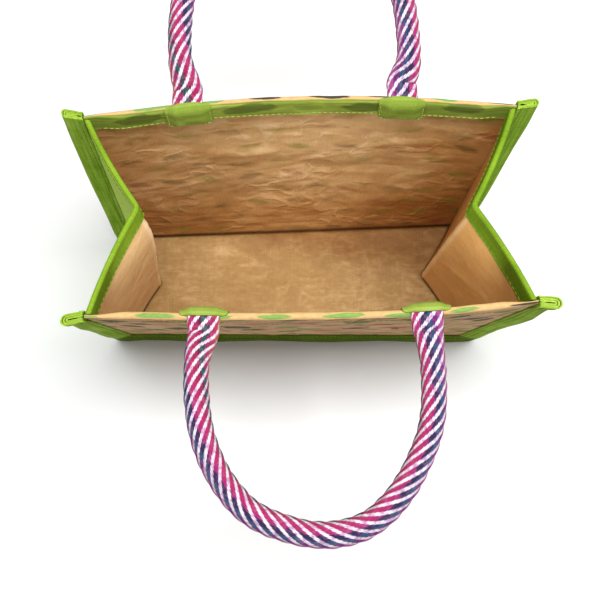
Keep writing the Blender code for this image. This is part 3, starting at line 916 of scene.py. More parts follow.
        # painted shade in the hollows between the hem's yarns
        green = dye.mix((1.0 - relief).ease(0.0, 1.0) * 0.30, green, (0.060, 0.110, 0.010))
        block, _ = Print.streaks(dye, 0.0830, hem + 0.0070, (0.0230, 0.0068), 7.0)
        green = dye.mix(block * 0.60, green, (0.040, 0.066, 0.012))
        green = dye.mix(v.ease(*self.lip) * 0.8, green, (0.440, 0.500, 0.120))
        top = (v - (hem + 0.0005)).abs().ease(0.0010, 0.0003)
        green = dye.mix(top * 0.55, green, (0.130, 0.110, 0.022))
        colour = dye.mix((v + (grain - 0.5) * 0.0010).ease(hem - soft, hem + soft),
                         colour, green)
        return dye.finish(colour, relief, 0.00035, grip=0.8)


@dataclass(frozen=True)
class GreenJute:
    """Dyed jute of the gussets, seams and patches."""

    dark: Colour = (0.060, 0.125, 0.004)
    middle: Colour = (0.205, 0.340, 0.020)
    light: Colour = (0.470, 0.640, 0.110)
    weave: Weave = Weave()
    below_fold: tuple[float, float] = (0.2260, 0.2220)
    low_shade_heights: tuple[float, float] = (0.020, 0.009)

    def cloth(self, name: str, lift: float = 0.0, ribs: float = 0.25, edge: float = 10.0,
              outer: float = 0.0, yarns: float = 1.0, low_shade: float = 0.0) -> bpy.types.Material:
        """The dyed cloth.

        Args:
            name: the material's name.
            lift: added to the shade, so that a tape is paler or deeper.
            ribs: how strongly lines run along the cloth's first direction.
            edge: map height above which a painted highlight makes the cloth its palest, as along a
                turned edge.
            outer: painted light, added to the shade below the rim's fold on the outer face.
            yarns: how strongly single yarns show.
            low_shade: strength of the painted shade that darkens the cloth just above the table.

        Returns:
            The material.
        """
        dye = DyeBath(name, 0.80, 0.04)
        u, v = dye.cloth
        relief, tone, slub = self.weave.threads(dye)
        cloud = dye.noise(dye.place(), 34.0, 3.0)
        rib = dye.grain(u * 16.0, v * 520.0, 3.0)
        # the relief term darkens the weave's hollows a little, painted shade; outer adds painted
        # light to the outer face below the fold
        shade = (0.12 * yarns) * relief + (0.10 * yarns) * tone + 0.20 * slub \
            + 0.40 * (cloud - 0.5) + 0.05 + (2.2 * ribs) * (rib - 0.5) + 0.24 + lift \
            + outer * v.ease(*self.below_fold)
        colour = dye.ramp(shade, ((0.10, self.dark), (0.50, self.middle), (0.90, self.light)))
        # painted highlight along the turned edge
        colour = dye.mix(v.ease(edge, edge + 0.0008) * 0.35, colour, (0.360, 0.500, 0.085))
        # painted shade: the cloth darker just above the table
        height = dye.node("ShaderNodeSeparateXYZ", {}, {0: dye.place()}, 2)
        colour = dye.mix(height.ease(*self.low_shade_heights) * low_shade, colour, (0.045, 0.075, 0.006))
        return dye.finish(colour, relief * (0.35 * yarns) + slub * 0.3 + rib * (2.0 * ribs),
                          0.00045, grip=0.8)


@dataclass(frozen=True)
class Yarn:
    """Sewing thread and the handles' woven cover."""

    pairs: int = 8
    dyes: tuple[tuple[float, Colour], ...] = (
        (0.000, (0.008, 0.075, 0.075)), (0.034, (0.081, 0.008, 0.031)),
        (0.060, (0.280, 0.008, 0.062)), (0.130, (0.360, 0.011, 0.093)),
        (0.205, (0.298, 0.011, 0.118)), (0.255, (0.008, 0.013, 0.060)),
        (0.325, (0.008, 0.053, 0.124)), (0.380, (0.112, 0.009, 0.124)),
        (0.435, (0.298, 0.050, 0.205)), (0.510, (0.267, 0.013, 0.118)),
        (0.590, (0.012, 0.030, 0.105)), (0.675, (0.236, 0.013, 0.130)),
        (0.740, (0.373, 0.236, 0.025)), (0.790, (0.398, 0.075, 0.037)),
        (0.860, (0.336, 0.025, 0.056)), (0.920, (0.274, 0.011, 0.087)),
        (0.975, (0.008, 0.044, 0.047)))

    def cover(self) -> bpy.types.Material:
        """White and coloured strands laid round the handle in turn.

        The map's first number counts turns of the strands and its second the place round the
        handle, so the coloured strands change dye where they cross the cover's columns.  Short
        floats of yarn give a strand its stepped edge.
        """
        dye = DyeBath("handle_cover", 0.70, 0.12, 0.10)
        turn, column = dye.cloth
        fray = dye.noise(dye.place(), 520.0, 2.0)
        strand = (turn * float(self.pairs)).floor()
        floats = (column * 31.0 + strand * 0.37).frac()
        phase = turn * float(self.pairs) + (fray - 0.5) * 0.10 + (floats - 0.5) * 0.13
        wave = phase.zigzag()
        mask = wave.ease(0.33, 0.45)
        edge = (fray - 0.5) * 0.02 + dye.chance(strand, 5.0) * 0.03
        dyed = dye.ramp((column + edge).frac(), self.dyes, steps=True)
        tone = dye.noise(dye.place(), 300.0, 2.0)
        dyed = dye.mix(tone.ease(0.45, 0.80) * 0.14, dyed, (0.80, 0.34, 0.52))
        white = dye.mix(tone.ease(0.30, 0.62), (0.46, 0.27, 0.43), (0.80, 0.73, 0.80))
        blush = dye.mix(0.08, white, dyed)
        colour = dye.mix(mask, blush, dyed)
        yarns = (phase * 5.0).zigzag()
        gap = (floats - 0.5).abs() * 2.0
        relief = yarns.ease(0.0, 0.8) * 0.5 + (1.0 - gap.ease(0.55, 1.0)) * 0.5
        # painted shade in the hollows between yarns and strands, deepest along the edge of each
        # coloured band
        valley = (wave - 0.43).abs().ease(0.09, 0.0)
        colour = dye.mix((1.0 - relief) * 0.34 + valley * 0.40, colour, (0.09, 0.015, 0.05))
        return dye.finish(colour, relief, 0.00035, grip=0.8)

    @staticmethod
    def thread(name: str, colour: Colour, deep: Colour) -> bpy.types.Material:
        """Sewing thread with its ply showing as fine slanting lines, their grooves darker as
        painted shade.
        """
        dye = DyeBath(name, 0.60)
        u, v = dye.cloth
        ply = (u * 2.0 + v * 5.0).zigzag()
        # painted shade: the ply's grooves take the deeper colour
        return dye.finish(dye.mix(ply, deep, colour), ply, 0.0001)


# ------------------------------------------------------------------ panels
@dataclass(frozen=True)
class HemRows:
    """The rows round a hemmed cloth.

    heights and insets are (stations, rows), length is the cloth's length at each row, and kind
    each strip's finish: 0 the printed or dyed side, 1 the bare side.
    """

    heights: Array
    insets: Array
    length: Array
    kind: Array

    def shadow(self) -> Array:
        """Painted seam shade: 1 at the foot of the wall's inner face, fading as a bell over the
        next 3 mm up.
        """
        above = np.maximum(self.heights - (FORM.base + FORM.cloth), 0.0)
        return np.where(self.insets > FORM.cloth * 0.5, np.exp(-(above / 0.0030) ** 2), 0.0)

    def skin(self, points: Array, u: Array) -> Skin:
        """The closed skin of these rows: its map runs along u and up the cloth's length."""
        uv = np.stack(np.broadcast_arrays(u, self.length[None, :]), axis=-1)
        uv = np.concatenate((uv, uv[:, -1:]), axis=1)
        kind = np.broadcast_to(self.kind[None, :], (len(u) - 1, len(self.kind)))
        return Skin(points, uv, kind, self.shadow())


@dataclass(frozen=True)
class HemmedSection:
    """Section of a hemmed cloth: up the outer face, over the rounded fold, down the hem, in at
    its cut edge and down the inner face."""

    rim: float
    drop: float
    fold_rows: int = 9
    hem_rows: int = 8
    step: float = 0.0022
    lip: float = 0.0011
    edge_down: tuple[float, ...] = (0.35, 0.8, 1.0)
    edge_in: tuple[float, ...] = (0.12, 0.55, 1.0)

    def rows(self, hem: Array) -> HemRows:
        """The rows round the section, whose fold is a half circle of the hem's thickness.

        Args:
            hem: the hem's whole thickness at each station.

        Returns:
            The rows.
        """
        hem = hem[:, None]
        radius = hem / 2.0
        top, low = self.rim - radius, self.rim - self.drop
        count = round((self.rim - FORM.base) / self.step)
        up = FORM.base + (top - FORM.base) * np.linspace(0.0, 1.0, count + 1)[None, :]
        turn = np.linspace(0.0, math.pi, self.fold_rows + 1)[None, 1:]
        arc_z, arc_inset = top + radius * np.sin(turn), radius * (1.0 - np.cos(turn))
        hem_z = top + (low - top) * np.linspace(0.0, 1.0, self.hem_rows + 1)[None, 1:]
        edge_z = low - self.lip * np.array(self.edge_down)[None, :]
        cloth = np.minimum(FORM.cloth, hem)
        edge_inset = hem + (cloth - hem) * np.array(self.edge_in)[None, :]
        start = low - self.lip - self.step
        down = start + (FORM.base - start) * np.linspace(0.0, 1.0, count)[None, 1:]
        zeros = np.zeros_like(hem)
        heights = np.hstack((up, arc_z, hem_z, edge_z + zeros, down + zeros))
        insets = np.hstack((up * 0.0, arc_inset, hem + 0.0 * hem_z, edge_inset,
                            cloth + 0.0 * down))
        middle = len(hem) // 2
        steps = np.hypot(np.diff(heights[middle]), np.diff(insets[middle]))
        length = np.concatenate(((0.0,), np.cumsum(steps)))
        bare = up.shape[1] + arc_z.shape[1] + hem_z.shape[1] + len(self.edge_down)
        length[bare - 1:] = heights[middle, bare - 1:] - FORM.base
        kind = np.zeros(heights.shape[1], dtype=int)
        kind[bare - 1:] = 1
        return HemRows(heights, insets, length, kind)


@dataclass(frozen=True)
class Crease:
    """A soft trough or ridge, placed in metres.

    It has a middle (u, v), a half length along u, a lean, a half width and a height.
    """

    u: float
    v: float
    reach: float
    lean: float
    width: float
    height: float

    def lift(self, u: Array, v: Array) -> Array:
        """Its height over the cloth: a bell across it, fading out towards both ends."""
        across = (v - self.v - self.lean * (u - self.u)) / self.width
        along = (u - self.u) / self.reach
        return self.height * np.exp(-across ** 2) * smooth(1.0 - np.abs(along))


@dataclass
class Panel:
    """A printed panel: one sheet with its top edge folded inside."""

    side: Side
    creases: tuple[Crease, ...]
    column_step: float = 0.0019
    section: HemmedSection = HemmedSection(FORM.rim, FORM.panel_hem_drop, step=0.0018)
    stitches_below: float = 0.0158
    pressed: float = 0.0002

    def relief(self, u: Array, v: Array) -> Array:
        """Crumples and creases of the cloth, none at its sewn edges.

        Two sizes of random ripples, drawn out along the weft, sharp ridges where a third one
        passes through zero, and the creases.
        """
        seed = 11 if self.side is Side.FRONT else 23
        height = 0.00030 * crumple(u, v, 0.020, 0.0085, seed)
        height = height + 0.00020 * crumple(u + 0.3 * v, v, 0.011, 0.0060, seed + 1)
        height = height + 0.00060 * crumple(u, v, 0.050, 0.034, seed + 2)
        ridge = 1.0 - np.abs(crumple(u - 0.5 * v, v, 0.020, 0.0125, seed + 3))
        height = height + 0.00046 * ridge ** 5
        for crease in self.creases:
            height = height + crease.lift(u, v)
        edge = smooth((FORM.half_width - 0.003 - np.abs(u)) / 0.012) * smooth((v - 0.003) / 0.010)
        return height * edge * smooth((0.2175 - v) / 0.012)

    def build(self, finishes: "Finishes") -> bpy.types.Object:
        """The cloth and its stitches."""
        count = round(2.0 * FORM.half_width / self.column_step)
        across = np.linspace(-1.0, 1.0, count + 1)
        puff, hem = self.hem(across)
        rows = self.section.rows(hem)
        u = (across * FORM.half_width)[:, None]
        bump = self.relief(u, rows.heights - FORM.base)
        ripple = 0.00025 * crumple(u, rows.heights, 0.011, 0.006, 41) * puff[:, None]
        hem_part = smooth((rows.heights - (FORM.rim - FORM.panel_hem_drop)) / 0.003)
        points = FORM.panel_point(self.side, across[:, None], rows.heights,
                                  rows.insets - bump - ripple * hem_part)
        piece = build_mesh(self.side.word + "_panel_cloth", [rows.skin(points, u)],
                           [finishes.printed[self.side], finishes.jute_inside])
        thread = stitch_piece(self.side.word + "_panel_hem_stitches",
                              [self.stitch_row(inside) for inside in (True, False)],
                              finishes.hem_thread)
        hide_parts(self.side.word + "_panel")
        return piece

    def hem(self, across: Array) -> tuple[Array, Array]:
        """How far the hem is puffed up, 0 at the seams and 1 between, and its whole thickness."""
        puff = smooth((0.97 - np.abs(across)) / 0.15)
        flat = FORM.cloth + self.pressed
        return puff, flat + (FORM.panel_hem - flat) * puff

    def stitch_row(self, inside: bool) -> Array:
        """The hem's stitches, inside or outside."""
        across = np.linspace(-0.93, 0.93, 160)
        inset = self.hem(across)[1] * float(inside)
        z = FORM.rim - self.stitches_below + 0.0004 * np.sin(across * 9.0)
        path = FORM.panel_point(self.side, across, z, inset)
        sign = -self.side.value if inside else self.side.value
        normal = np.broadcast_to(np.array((0.0, sign, 0.0)), path.shape)
        return Sewing(length=0.0034, width=0.0008, height=0.0004).row(path, normal)


# ------------------------------------------------------------------ gussets
@dataclass
class Gusset:
    """A side strip folded in along its middle, green outside and bare inside."""

    hand: Hand
    creases: tuple[Crease, ...]
    section: HemmedSection = HemmedSection(FORM.rim - FORM.gusset_step, FORM.gusset_hem_drop,
                                           fold_rows=7)
    columns: int = 78
    crowding: float = 1.25
    half_girth: float = 0.0825
    stitches_below: float = 0.0225

    def relief(self, w: Array, v: Array) -> Array:
        """Crumples and creases, none at the sewn ends and the bottom."""
        seed = 57 if self.hand is Hand.LEFT else 71
        height = 0.00045 * crumple(w, v, 0.022, 0.020, seed)
        height = height + 0.00018 * crumple(w + 0.3 * v, v, 0.009, 0.008, seed + 1)
        for crease in self.creases:
            height = height + crease.lift(w, v)
        return height * smooth((0.072 - np.abs(w)) / 0.010) * smooth((v - 0.003) / 0.010) \
            * smooth((0.212 - v) / 0.010)

    def build(self, finishes: "Finishes") -> bpy.types.Object:
        """The cloth and its hem stitches."""
        spread = np.linspace(-1.0, 1.0, self.columns + 1)
        along = np.sign(spread) * np.abs(spread) ** self.crowding
        rows = self.section.rows(np.full_like(along, FORM.gusset_hem))
        w = (along * self.half_girth)[:, None]
        bump = self.relief(w, rows.heights - FORM.base)
        points = FORM.gusset_point(self.hand, rows.heights, along[:, None], rows.insets - bump)
        piece = build_mesh("gusset_" + self.hand.word + "_cloth", [rows.skin(points, w)],
                           [finishes.gusset[self.hand], finishes.lining[self.hand]])
        thread = stitch_piece("gusset_" + self.hand.word + "_hem_stitches",
                              [self.stitch_row(inside) for inside in (True, False)],
                              finishes.green_thread)
        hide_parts("gusset_" + self.hand.word)
        return piece

    def stitch_row(self, inside: bool) -> Array:
        """The hem's stitches, inside or outside."""
        along = np.linspace(-0.95, 0.95, 140)
        z = np.full_like(along, FORM.rim - self.stitches_below)
        inset = FORM.gusset_hem * float(inside)
        path = FORM.gusset_point(self.hand, z, along, inset)
        deeper = FORM.gusset_point(self.hand, z, along, inset + 0.001)
        normal = (deeper - path) * (1.0 if inside else -1.0)
        return Sewing(length=0.0032, width=0.0008, height=0.0004).row(path, normal)


# ------------------------------------------------------------------ base
@dataclass
class BaseCloth:
    """The flat cloth that closes the bottom."""

    creases: tuple[Crease, ...]
    columns: int = 150
    lines: int = 58
    end: float = 0.985
    corner_along: float = 0.92
    seam_dip: float = 0.0025
    seam_width: float = 0.0024
    tuck: float = 0.45

    def shares(self, count: int, crowd: float) -> Array:
        """Steps from 0 to 1 that crowd together at both ends, by a sine of that strength."""
        even = np.linspace(0.0, 1.0, count + 1)
        return even - crowd * np.sin(2.0 * math.pi * even) / (2.0 * math.pi)

    def edges(self, z: float, s: Array, t: Array) -> tuple[Array, Array, Array, Array]:
        """The outline as four curves, all tucked into the walls' cloth.

        Args:
            z: height.
            s, t: shares of the way along the long and the short edges.

        Returns:
            Front, back, left and right edge.
        """
        tucked = FORM.cloth * self.tuck
        across = self.end * (2.0 * s - 1.0)
        height = np.full_like(across, z)
        front = FORM.panel_point(Side.FRONT, across, height, tucked)
        back = FORM.panel_point(Side.BACK, across, height, tucked)
        ends = []
        for hand, column in ((Hand.LEFT, 0), (Hand.RIGHT, -1)):
            along = np.linspace(-self.corner_along, self.corner_along, 61)
            side = FORM.gusset_point(hand, np.full_like(along, z), along, tucked)
            side = np.vstack((front[column], side, back[column]))
            gone = travelled(side)
            ends.append(sampled(t * gone[-1], gone, side))
        return front, back, ends[0], ends[1]

    def patchwork(self, z: float) -> tuple[Array, Array, Array]:
        """Coons patch: the two blends between opposite edges, added, less the blend of the
        four corners.  Its points, and the shares along both directions."""
        s, t = self.shares(self.columns, 0.70), self.shares(self.lines, 0.80)
        front, back, left, right = self.edges(z, s, t)
        s, t = s[:, None, None], t[None, :, None]
        grid = (1.0 - t) * front[:, None] + t * back[:, None]
        grid = grid + (1.0 - s) * left[None, :] + s * right[None, :]
        corners = ((1.0 - s) * (1.0 - t) * front[0] + s * (1.0 - t) * front[-1]
                   + (1.0 - s) * t * back[0] + s * t * back[-1])
        return grid - corners, s[..., 0], t[..., 0]

    def build(self, finishes: "Finishes") -> bpy.types.Object:
        """The cloth: its upper and under face as one closed loop of columns."""
        plan, s, t = self.patchwork(FORM.base)
        x, y = plan[..., 0], plan[..., 1]
        inner = smooth(np.minimum(s, 1.0 - s) / 0.05) * smooth(np.minimum(t, 1.0 - t) / 0.12)
        rim = np.minimum(np.minimum(s, 1.0 - s) * 0.28, np.minimum(t, 1.0 - t) * 0.10)
        dip = self.seam_dip * np.exp(-(rim / self.seam_width) ** 2)
        height = 0.00055 * crumple(x, y, 0.028, 0.014, 91)
        height = height + 0.00022 * crumple(x, y, 0.009, 0.007, 92)
        for crease in self.creases:
            height = height + crease.lift(x, y)
        height = np.maximum(height * inner, -0.0006) - dip
        over, under = plan.copy(), plan.copy()
        over[..., 2] = FORM.base + FORM.cloth + height
        under[..., 2] = FORM.base + height * 0.6
        loops = np.concatenate((over, under[:, ::-1]), axis=1)
        uv = np.concatenate((loops, loops[:, :1]), axis=1)[..., :2]
        # painted seam shade along the base's sewn edges
        shadow = np.exp(-(np.maximum(rim - 0.0010, 0.0) / 0.0013) ** 2)
        shadow = np.concatenate((shadow, shadow[:, ::-1]), axis=1)
        piece = build_mesh("base_cloth", [Skin(loops, uv, seam=shadow)], [finishes.base])
        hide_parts("base_panel")
        return piece


# ------------------------------------------------------------------ seam tapes
@dataclass
class SeamTape:
    """The green tape folded round a panel's seams, with its top ends rolled open."""

    side: Side
    thickness: float = 0.0045
    ear: PerEnd = PerEnd(0.0085, 0.0065)
    ear_height: float = 0.026
    ear_rise: float = 0.001
    ear_flare: float = 0.0025
    splay: float = 0.0044
    arm_splay: PerEnd = PerEnd(0.0036, 0.0)
    wave: float = 0.0008
    tape: float = 0.0012
    tucks: tuple = ((0.74, 0.0018, 0.0006), (0.42, 0.0036, 0.0010))
    step: float = 0.0022
    cuts: int = 20
    section_points: int = 17
    lane: float = 0.0030
    groove: float = 0.00035

    def edge_y(self, across: Array, z: Array) -> Array:
        """The seam's middle plane."""
        return self.side.value * (FORM.reach(self.side, across, z) - FORM.cloth / 2.0)

    def upright(self, hand: Hand, z: Array, flare: Array) -> tuple[Array, Array]:
        """Inner and outer edge of the seam up one end of the panel."""
        sign = hand.value
        y = self.edge_y(np.full_like(z, sign), z)
        wave = self.wave * np.sin(40.0 * z + sign)
        lean = FORM.lean(self.side, z)
        inner_x = sign * (FORM.half_width + FORM.gap) + lean
        outer_x = sign * (FORM.half_width + FORM.flange) + lean
        turned = self.arm_splay.of(self.side) * smooth((FORM.rim - 0.012 - z) / 0.050)
        outer_y = y + self.side.value * (flare + wave + turned)
        return np.stack((inner_x, y, z), axis=-1), np.stack((outer_x, outer_y, z), axis=-1)

    def arm(self, hand: Hand) -> tuple[Array, Array, Array]:
        """The upright and its corner, from the ear down: inner edge, outer edge, thickness."""
        ear = self.ear.of(self.side)
        below = FORM.rim - self.ear_height
        z = np.array([FORM.rim + self.ear_rise, FORM.rim - 0.010, below + 0.006]
                     + list(np.linspace(below - 0.006, 0.030, 7)))
        flare = np.array([1.0, 0.8, 0.3] + [0.0] * 7) * self.ear_flare
        thick = np.array([ear, ear * 0.97, self.thickness * 1.25] + [self.thickness] * 7)
        inner, outer = self.upright(hand, z, flare)
        sign = hand.value
        seam_top = FORM.base - FORM.gap
        y = self.edge_y(np.array(sign), np.array(FORM.base))
        shift = FORM.lean(self.side, FORM.base)
        inner_x, outer_x = FORM.half_width + FORM.gap, FORM.half_width + FORM.flange
        turns = ((inner_x, seam_top + 0.0012, outer_x, 0.0085, 0.25),
                 (inner_x, seam_top, outer_x - 0.0035, 0.0018, 0.75),
                 (inner_x - 0.0012, seam_top, outer_x - 0.0100, 0.0, 1.0))
        low_in = np.array([(sign * xi + shift, y, zi) for xi, zi, _, _, _ in turns])
        arm, foot = self.arm_splay.of(self.side), self.splay
        low_out = np.array([(sign * xo + shift,
                             y + self.side.value * (arm + (foot - arm) * share), zo)
                            for _, _, xo, zo, share in turns])
        return (np.vstack((inner, low_in)), np.vstack((outer, low_out)),
                np.concatenate((thick, np.full(3, self.thickness))))

    def course(self) -> tuple[Array, Array, Array]:
        """Inner edge, outer edge and thickness along the whole U, in even steps."""
        left_in, left_out, left_thick = self.arm(Hand.LEFT)
        right_in, right_out, right_thick = self.arm(Hand.RIGHT)
        across = np.linspace(-0.93, 0.93, 14)
        z = np.full_like(across, FORM.base)
        x = across * FORM.half_width + FORM.lean(self.side, z)
        y = self.edge_y(across, z)
        splay = self.side.value * (self.splay + self.wave * np.sin(9.0 * across))
        low_in = np.stack((x, y, z - FORM.gap), axis=-1)
        low_out = np.stack((x, y + splay, z * 0.0), axis=-1)
        inner = np.vstack((left_in, low_in, right_in[::-1]))
        outer = np.vstack((left_out, low_out, right_out[::-1]))
        thick = np.concatenate((left_thick, np.full(14, self.thickness), right_thick[::-1]))
        both = np.hstack((inner, outer, thick[:, None]))
        spans = len(both) - 1
        stops = np.linspace(0.0, spans, self.cuts * spans + 1)
        both = sampled(stops, np.arange(spans + 1), both)
        even = respaced((both[:, :3] + both[:, 3:6]) / 2.0, self.step, both)
        return even[:, :3], even[:, 3:6], even[:, 6]

    def wall(self, thick: Array, width: Array, back: float) -> Array:
        """Section of the folded tape as a closed loop in (across, through) coordinates.

        The middle line runs out along one face, round the fold and back along the other; the
        loop is that line moved half the tape's thickness to both sides.

        Args:
            thick: the seam's thickness at each station.
            width: its width at each station.
            back: how far the tape's own edges stay behind the seam's inner edge.

        Returns:
            (stations, points, 2).
        """
        half = thick / 2.0 - self.tape / 2.0
        leg = np.linspace(0.0, 1.0, self.section_points)[None, :]
        turn = np.linspace(0.0, math.pi, 9)[None, 1:-1]
        straight = width[:, None] - half[:, None] - self.tape / 2.0
        out = np.stack(np.broadcast_arrays(back + (straight - back) * leg, half[:, None]), axis=-1)
        bend = np.stack((straight + half[:, None] * np.sin(turn), half[:, None] * np.cos(turn)),
                        axis=-1)
        home = out[:, ::-1] * np.array((1.0, -1.0))
        groove = np.exp(-((out[..., 0] - self.lane) / 0.0012) ** 2) * self.groove
        out[..., 1] -= groove
        home[..., 1] += groove[:, ::-1]
        line = np.concatenate((out, bend, home), axis=1)
        run = unit(np.gradient(line, axis=1))
        normal = np.stack((-run[..., 1], run[..., 0]), axis=-1) * (self.tape / 2.0)
        return np.concatenate((line + normal, (line - normal)[:, ::-1]), axis=1)

    def lay(self, section: Array, inner: Array, outer: Array) -> Array:
        """Put a section's coordinates onto the seam: across it and through it."""
        across = unit(outer - inner)
        through = np.zeros_like(across)
        through[:, 1] = self.side.value
        return (inner[:, None] + across[:, None] * section[..., :1]
                + through[:, None] * section[..., 1:])

    def build(self, finishes: "Finishes") -> bpy.types.Object:
        """The tape, the folded end inside each ear, and its stitches."""
        inner, outer, thick = self.course()
        along = travelled((inner + outer) / 2.0)
        seed = 5 if self.side is Side.FRONT else 6
        lively = 1.0 + 0.05 * crumple(along, along * 0.0, 0.016, 1.0, seed)
        width = np.linalg.norm(outer - inner, axis=1)
        section = self.wall(thick * lively, width, 0.0)
        skins = [self.skin(self.lay(section, inner, outer), along)]
        for stations in (slice(0, 11), slice(-11, None)):
            depth = np.abs(along[stations] - (along[0] if stations.start == 0 else along[-1]))
            for share, less, sunk in self.tucks:
                tuck = self.wall(thick[stations] * share - 0.0004, width[stations] - less, 0.0008)
                roll = self.lay(tuck, inner[stations], outer[stations])
                roll[..., 2] -= sunk * (1.0 - smooth(depth / 0.02))[:, None]
                skins.append(self.skin(roll, along[stations] + 1.0))
        piece = build_mesh(self.side.word + "_seam_tape", skins, [finishes.tape])
        rows = []
        for face in (1.0, -1.0):
            lane = np.stack((np.full_like(thick, self.lane), face * (thick / 2.0 - self.groove)),
                            axis=-1)
            path = self.lay(lane[:, None, :], inner, outer)[:, 0]
            normal = np.zeros_like(path)
            normal[:, 1] = self.side.value * face
            rows.append(Sewing(length=0.0031).row(path, normal))
        thread = stitch_piece(self.side.word + "_seam_stitches", rows, finishes.green_thread)
        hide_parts(self.side.word + "_binding")
        return piece

    @staticmethod
    def skin(points: Array, along: Array) -> Skin:
        """A skin whose map is the tape's length and its unrolled width."""
        width = travelled(points[len(points) // 2])
        width = np.concatenate((width, width[-1:] + 0.0012))
        uv = np.stack(np.broadcast_arrays(along[:, None], width[None, :]), axis=-1)
        return Skin(points, uv)


# ------------------------------------------------------------------ patches
@dataclass
class Patch:
    """The green patch over a handle's foot: up the hem inside and onto the rim."""

    side: Side
    hand: Hand
    half_width: float = 0.0165
    cloth: float = 0.0012
    drop: float = 0.0200
    raised: float = 0.0031
    pinch: float = 0.55
    low_corner: float = 0.0030
    high_corner: float = 0.0040
    map_half_width: float = 0.016
    map_height: float = 0.024
    map_apart: float = 0.04
    foot_spacing: PerEnd = PerEnd(0.0755, 0.0765)
    foot_middle: PerEnd = PerEnd(0.0090, -0.0010)

    @property
    def leg(self) -> float:
        """Length of its straight part, up the hem."""
        return self.drop - FORM.panel_hem / 2.0

    @property
    def bend(self) -> float:
        """Length of its part over the rim, a quarter circle."""
        return math.pi / 2.0 * (FORM.panel_hem / 2.0 + self.raised)

    @staticmethod
    def rounding(length: Array, radius: float) -> Array:
        """Share of a corner's radius that a quarter circle takes off at a distance from its end."""
        return 1.0 - np.sqrt(1.0 - np.clip(1.0 - length / radius, 0.0, 1.0) ** 2)

    def foot(self) -> float:
        """Sideways place of the handle's foot."""
        return self.foot_middle.of(self.side) + self.hand.value * self.foot_spacing.of(self.side)

    def place(self, span: Array, length: Array, above: float) -> Array:
        """Point of the patch: up the hem, then round over the rim.

        The outline's corners are rounded: it narrows as a quarter circle over the first and
        the last few millimetres.

        Args:
            span: -1 to 1 across the patch.
            length: distance up from its lower edge.
            above: height over its underside.

        Returns:
            The points.
        """
        depth = np.maximum(self.leg - length, 0.0)
        turn = np.clip((length - self.leg) / self.bend, 0.0, 1.0) * math.pi / 2.0
        low = self.low_corner * self.rounding(length, self.low_corner)
        high = self.high_corner * self.rounding(self.leg + self.bend - length, self.high_corner)
        x = self.foot() + span * (self.half_width - low - high)
        return FORM.over_rim(self.side, x, depth, turn, 0.0 * length,
                             self.lift(span, length) + above)

    def lift(self, span: Array, length: Array) -> Array:
        """Height of the patch's underside above the hem: domed over the cord's foot and drawn
        down along its sewn edges."""
        puff = smooth((1.0 - np.abs(span)) / self.pinch) * (0.10 + 0.90 * smooth(length / 0.0055))
        seed = 7 + int(self.hand.value)
        dent = 0.00035 * crumple(span * self.map_half_width, length, 0.006, 0.005, seed)
        return FORM.gap + (self.raised - FORM.gap) * puff + dent * puff

    def build(self, finishes: "Finishes") -> bpy.types.Object:
        """The patch and its stitches."""
        span = np.linspace(-1.0, 1.0, 41)[None, :]
        length = np.linspace(0.0, self.leg + self.bend, 36)[:, None]
        under, over = self.place(span, length, 0.0), self.place(span, length, self.cloth)
        loops = np.concatenate((over, under[:, ::-1]), axis=1)
        across = span * self.map_half_width
        across = np.concatenate((across, across[:, ::-1] + self.map_apart, across[:, :1]), axis=1)
        uv = np.stack(np.broadcast_arrays(across, self.map_height - length), axis=-1)
        label = self.side.word + "_" + self.hand.word
        piece = build_mesh("patch_" + label + "_cloth", [Skin(loops, uv)], [finishes.patch])
        thread = stitch_piece("patch_" + label + "_stitches", [self.stitch_path()],
                              finishes.patch_thread)
        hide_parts("patch_" + label)
        return piece

    def stitch_path(self) -> Array:
        """Stitches down one side, along the bottom and up the other side."""
        low, high, edge = 0.0014, 0.0165, 0.93
        down = np.linspace(high, low, 16)
        flat = np.linspace(-0.90, 0.90, 30)
        span = np.concatenate((np.full_like(down, -edge), flat, np.full_like(down, edge)))
        length = np.concatenate((down, np.full_like(flat, low), np.linspace(low, high, 16)))
        path = self.place(span, length, self.cloth)
        normal = self.place(span, length, self.cloth + 0.001) - path
        return Sewing(pitch=0.0030, length=0.0023, width=0.0007, height=0.0004).row(path, normal)


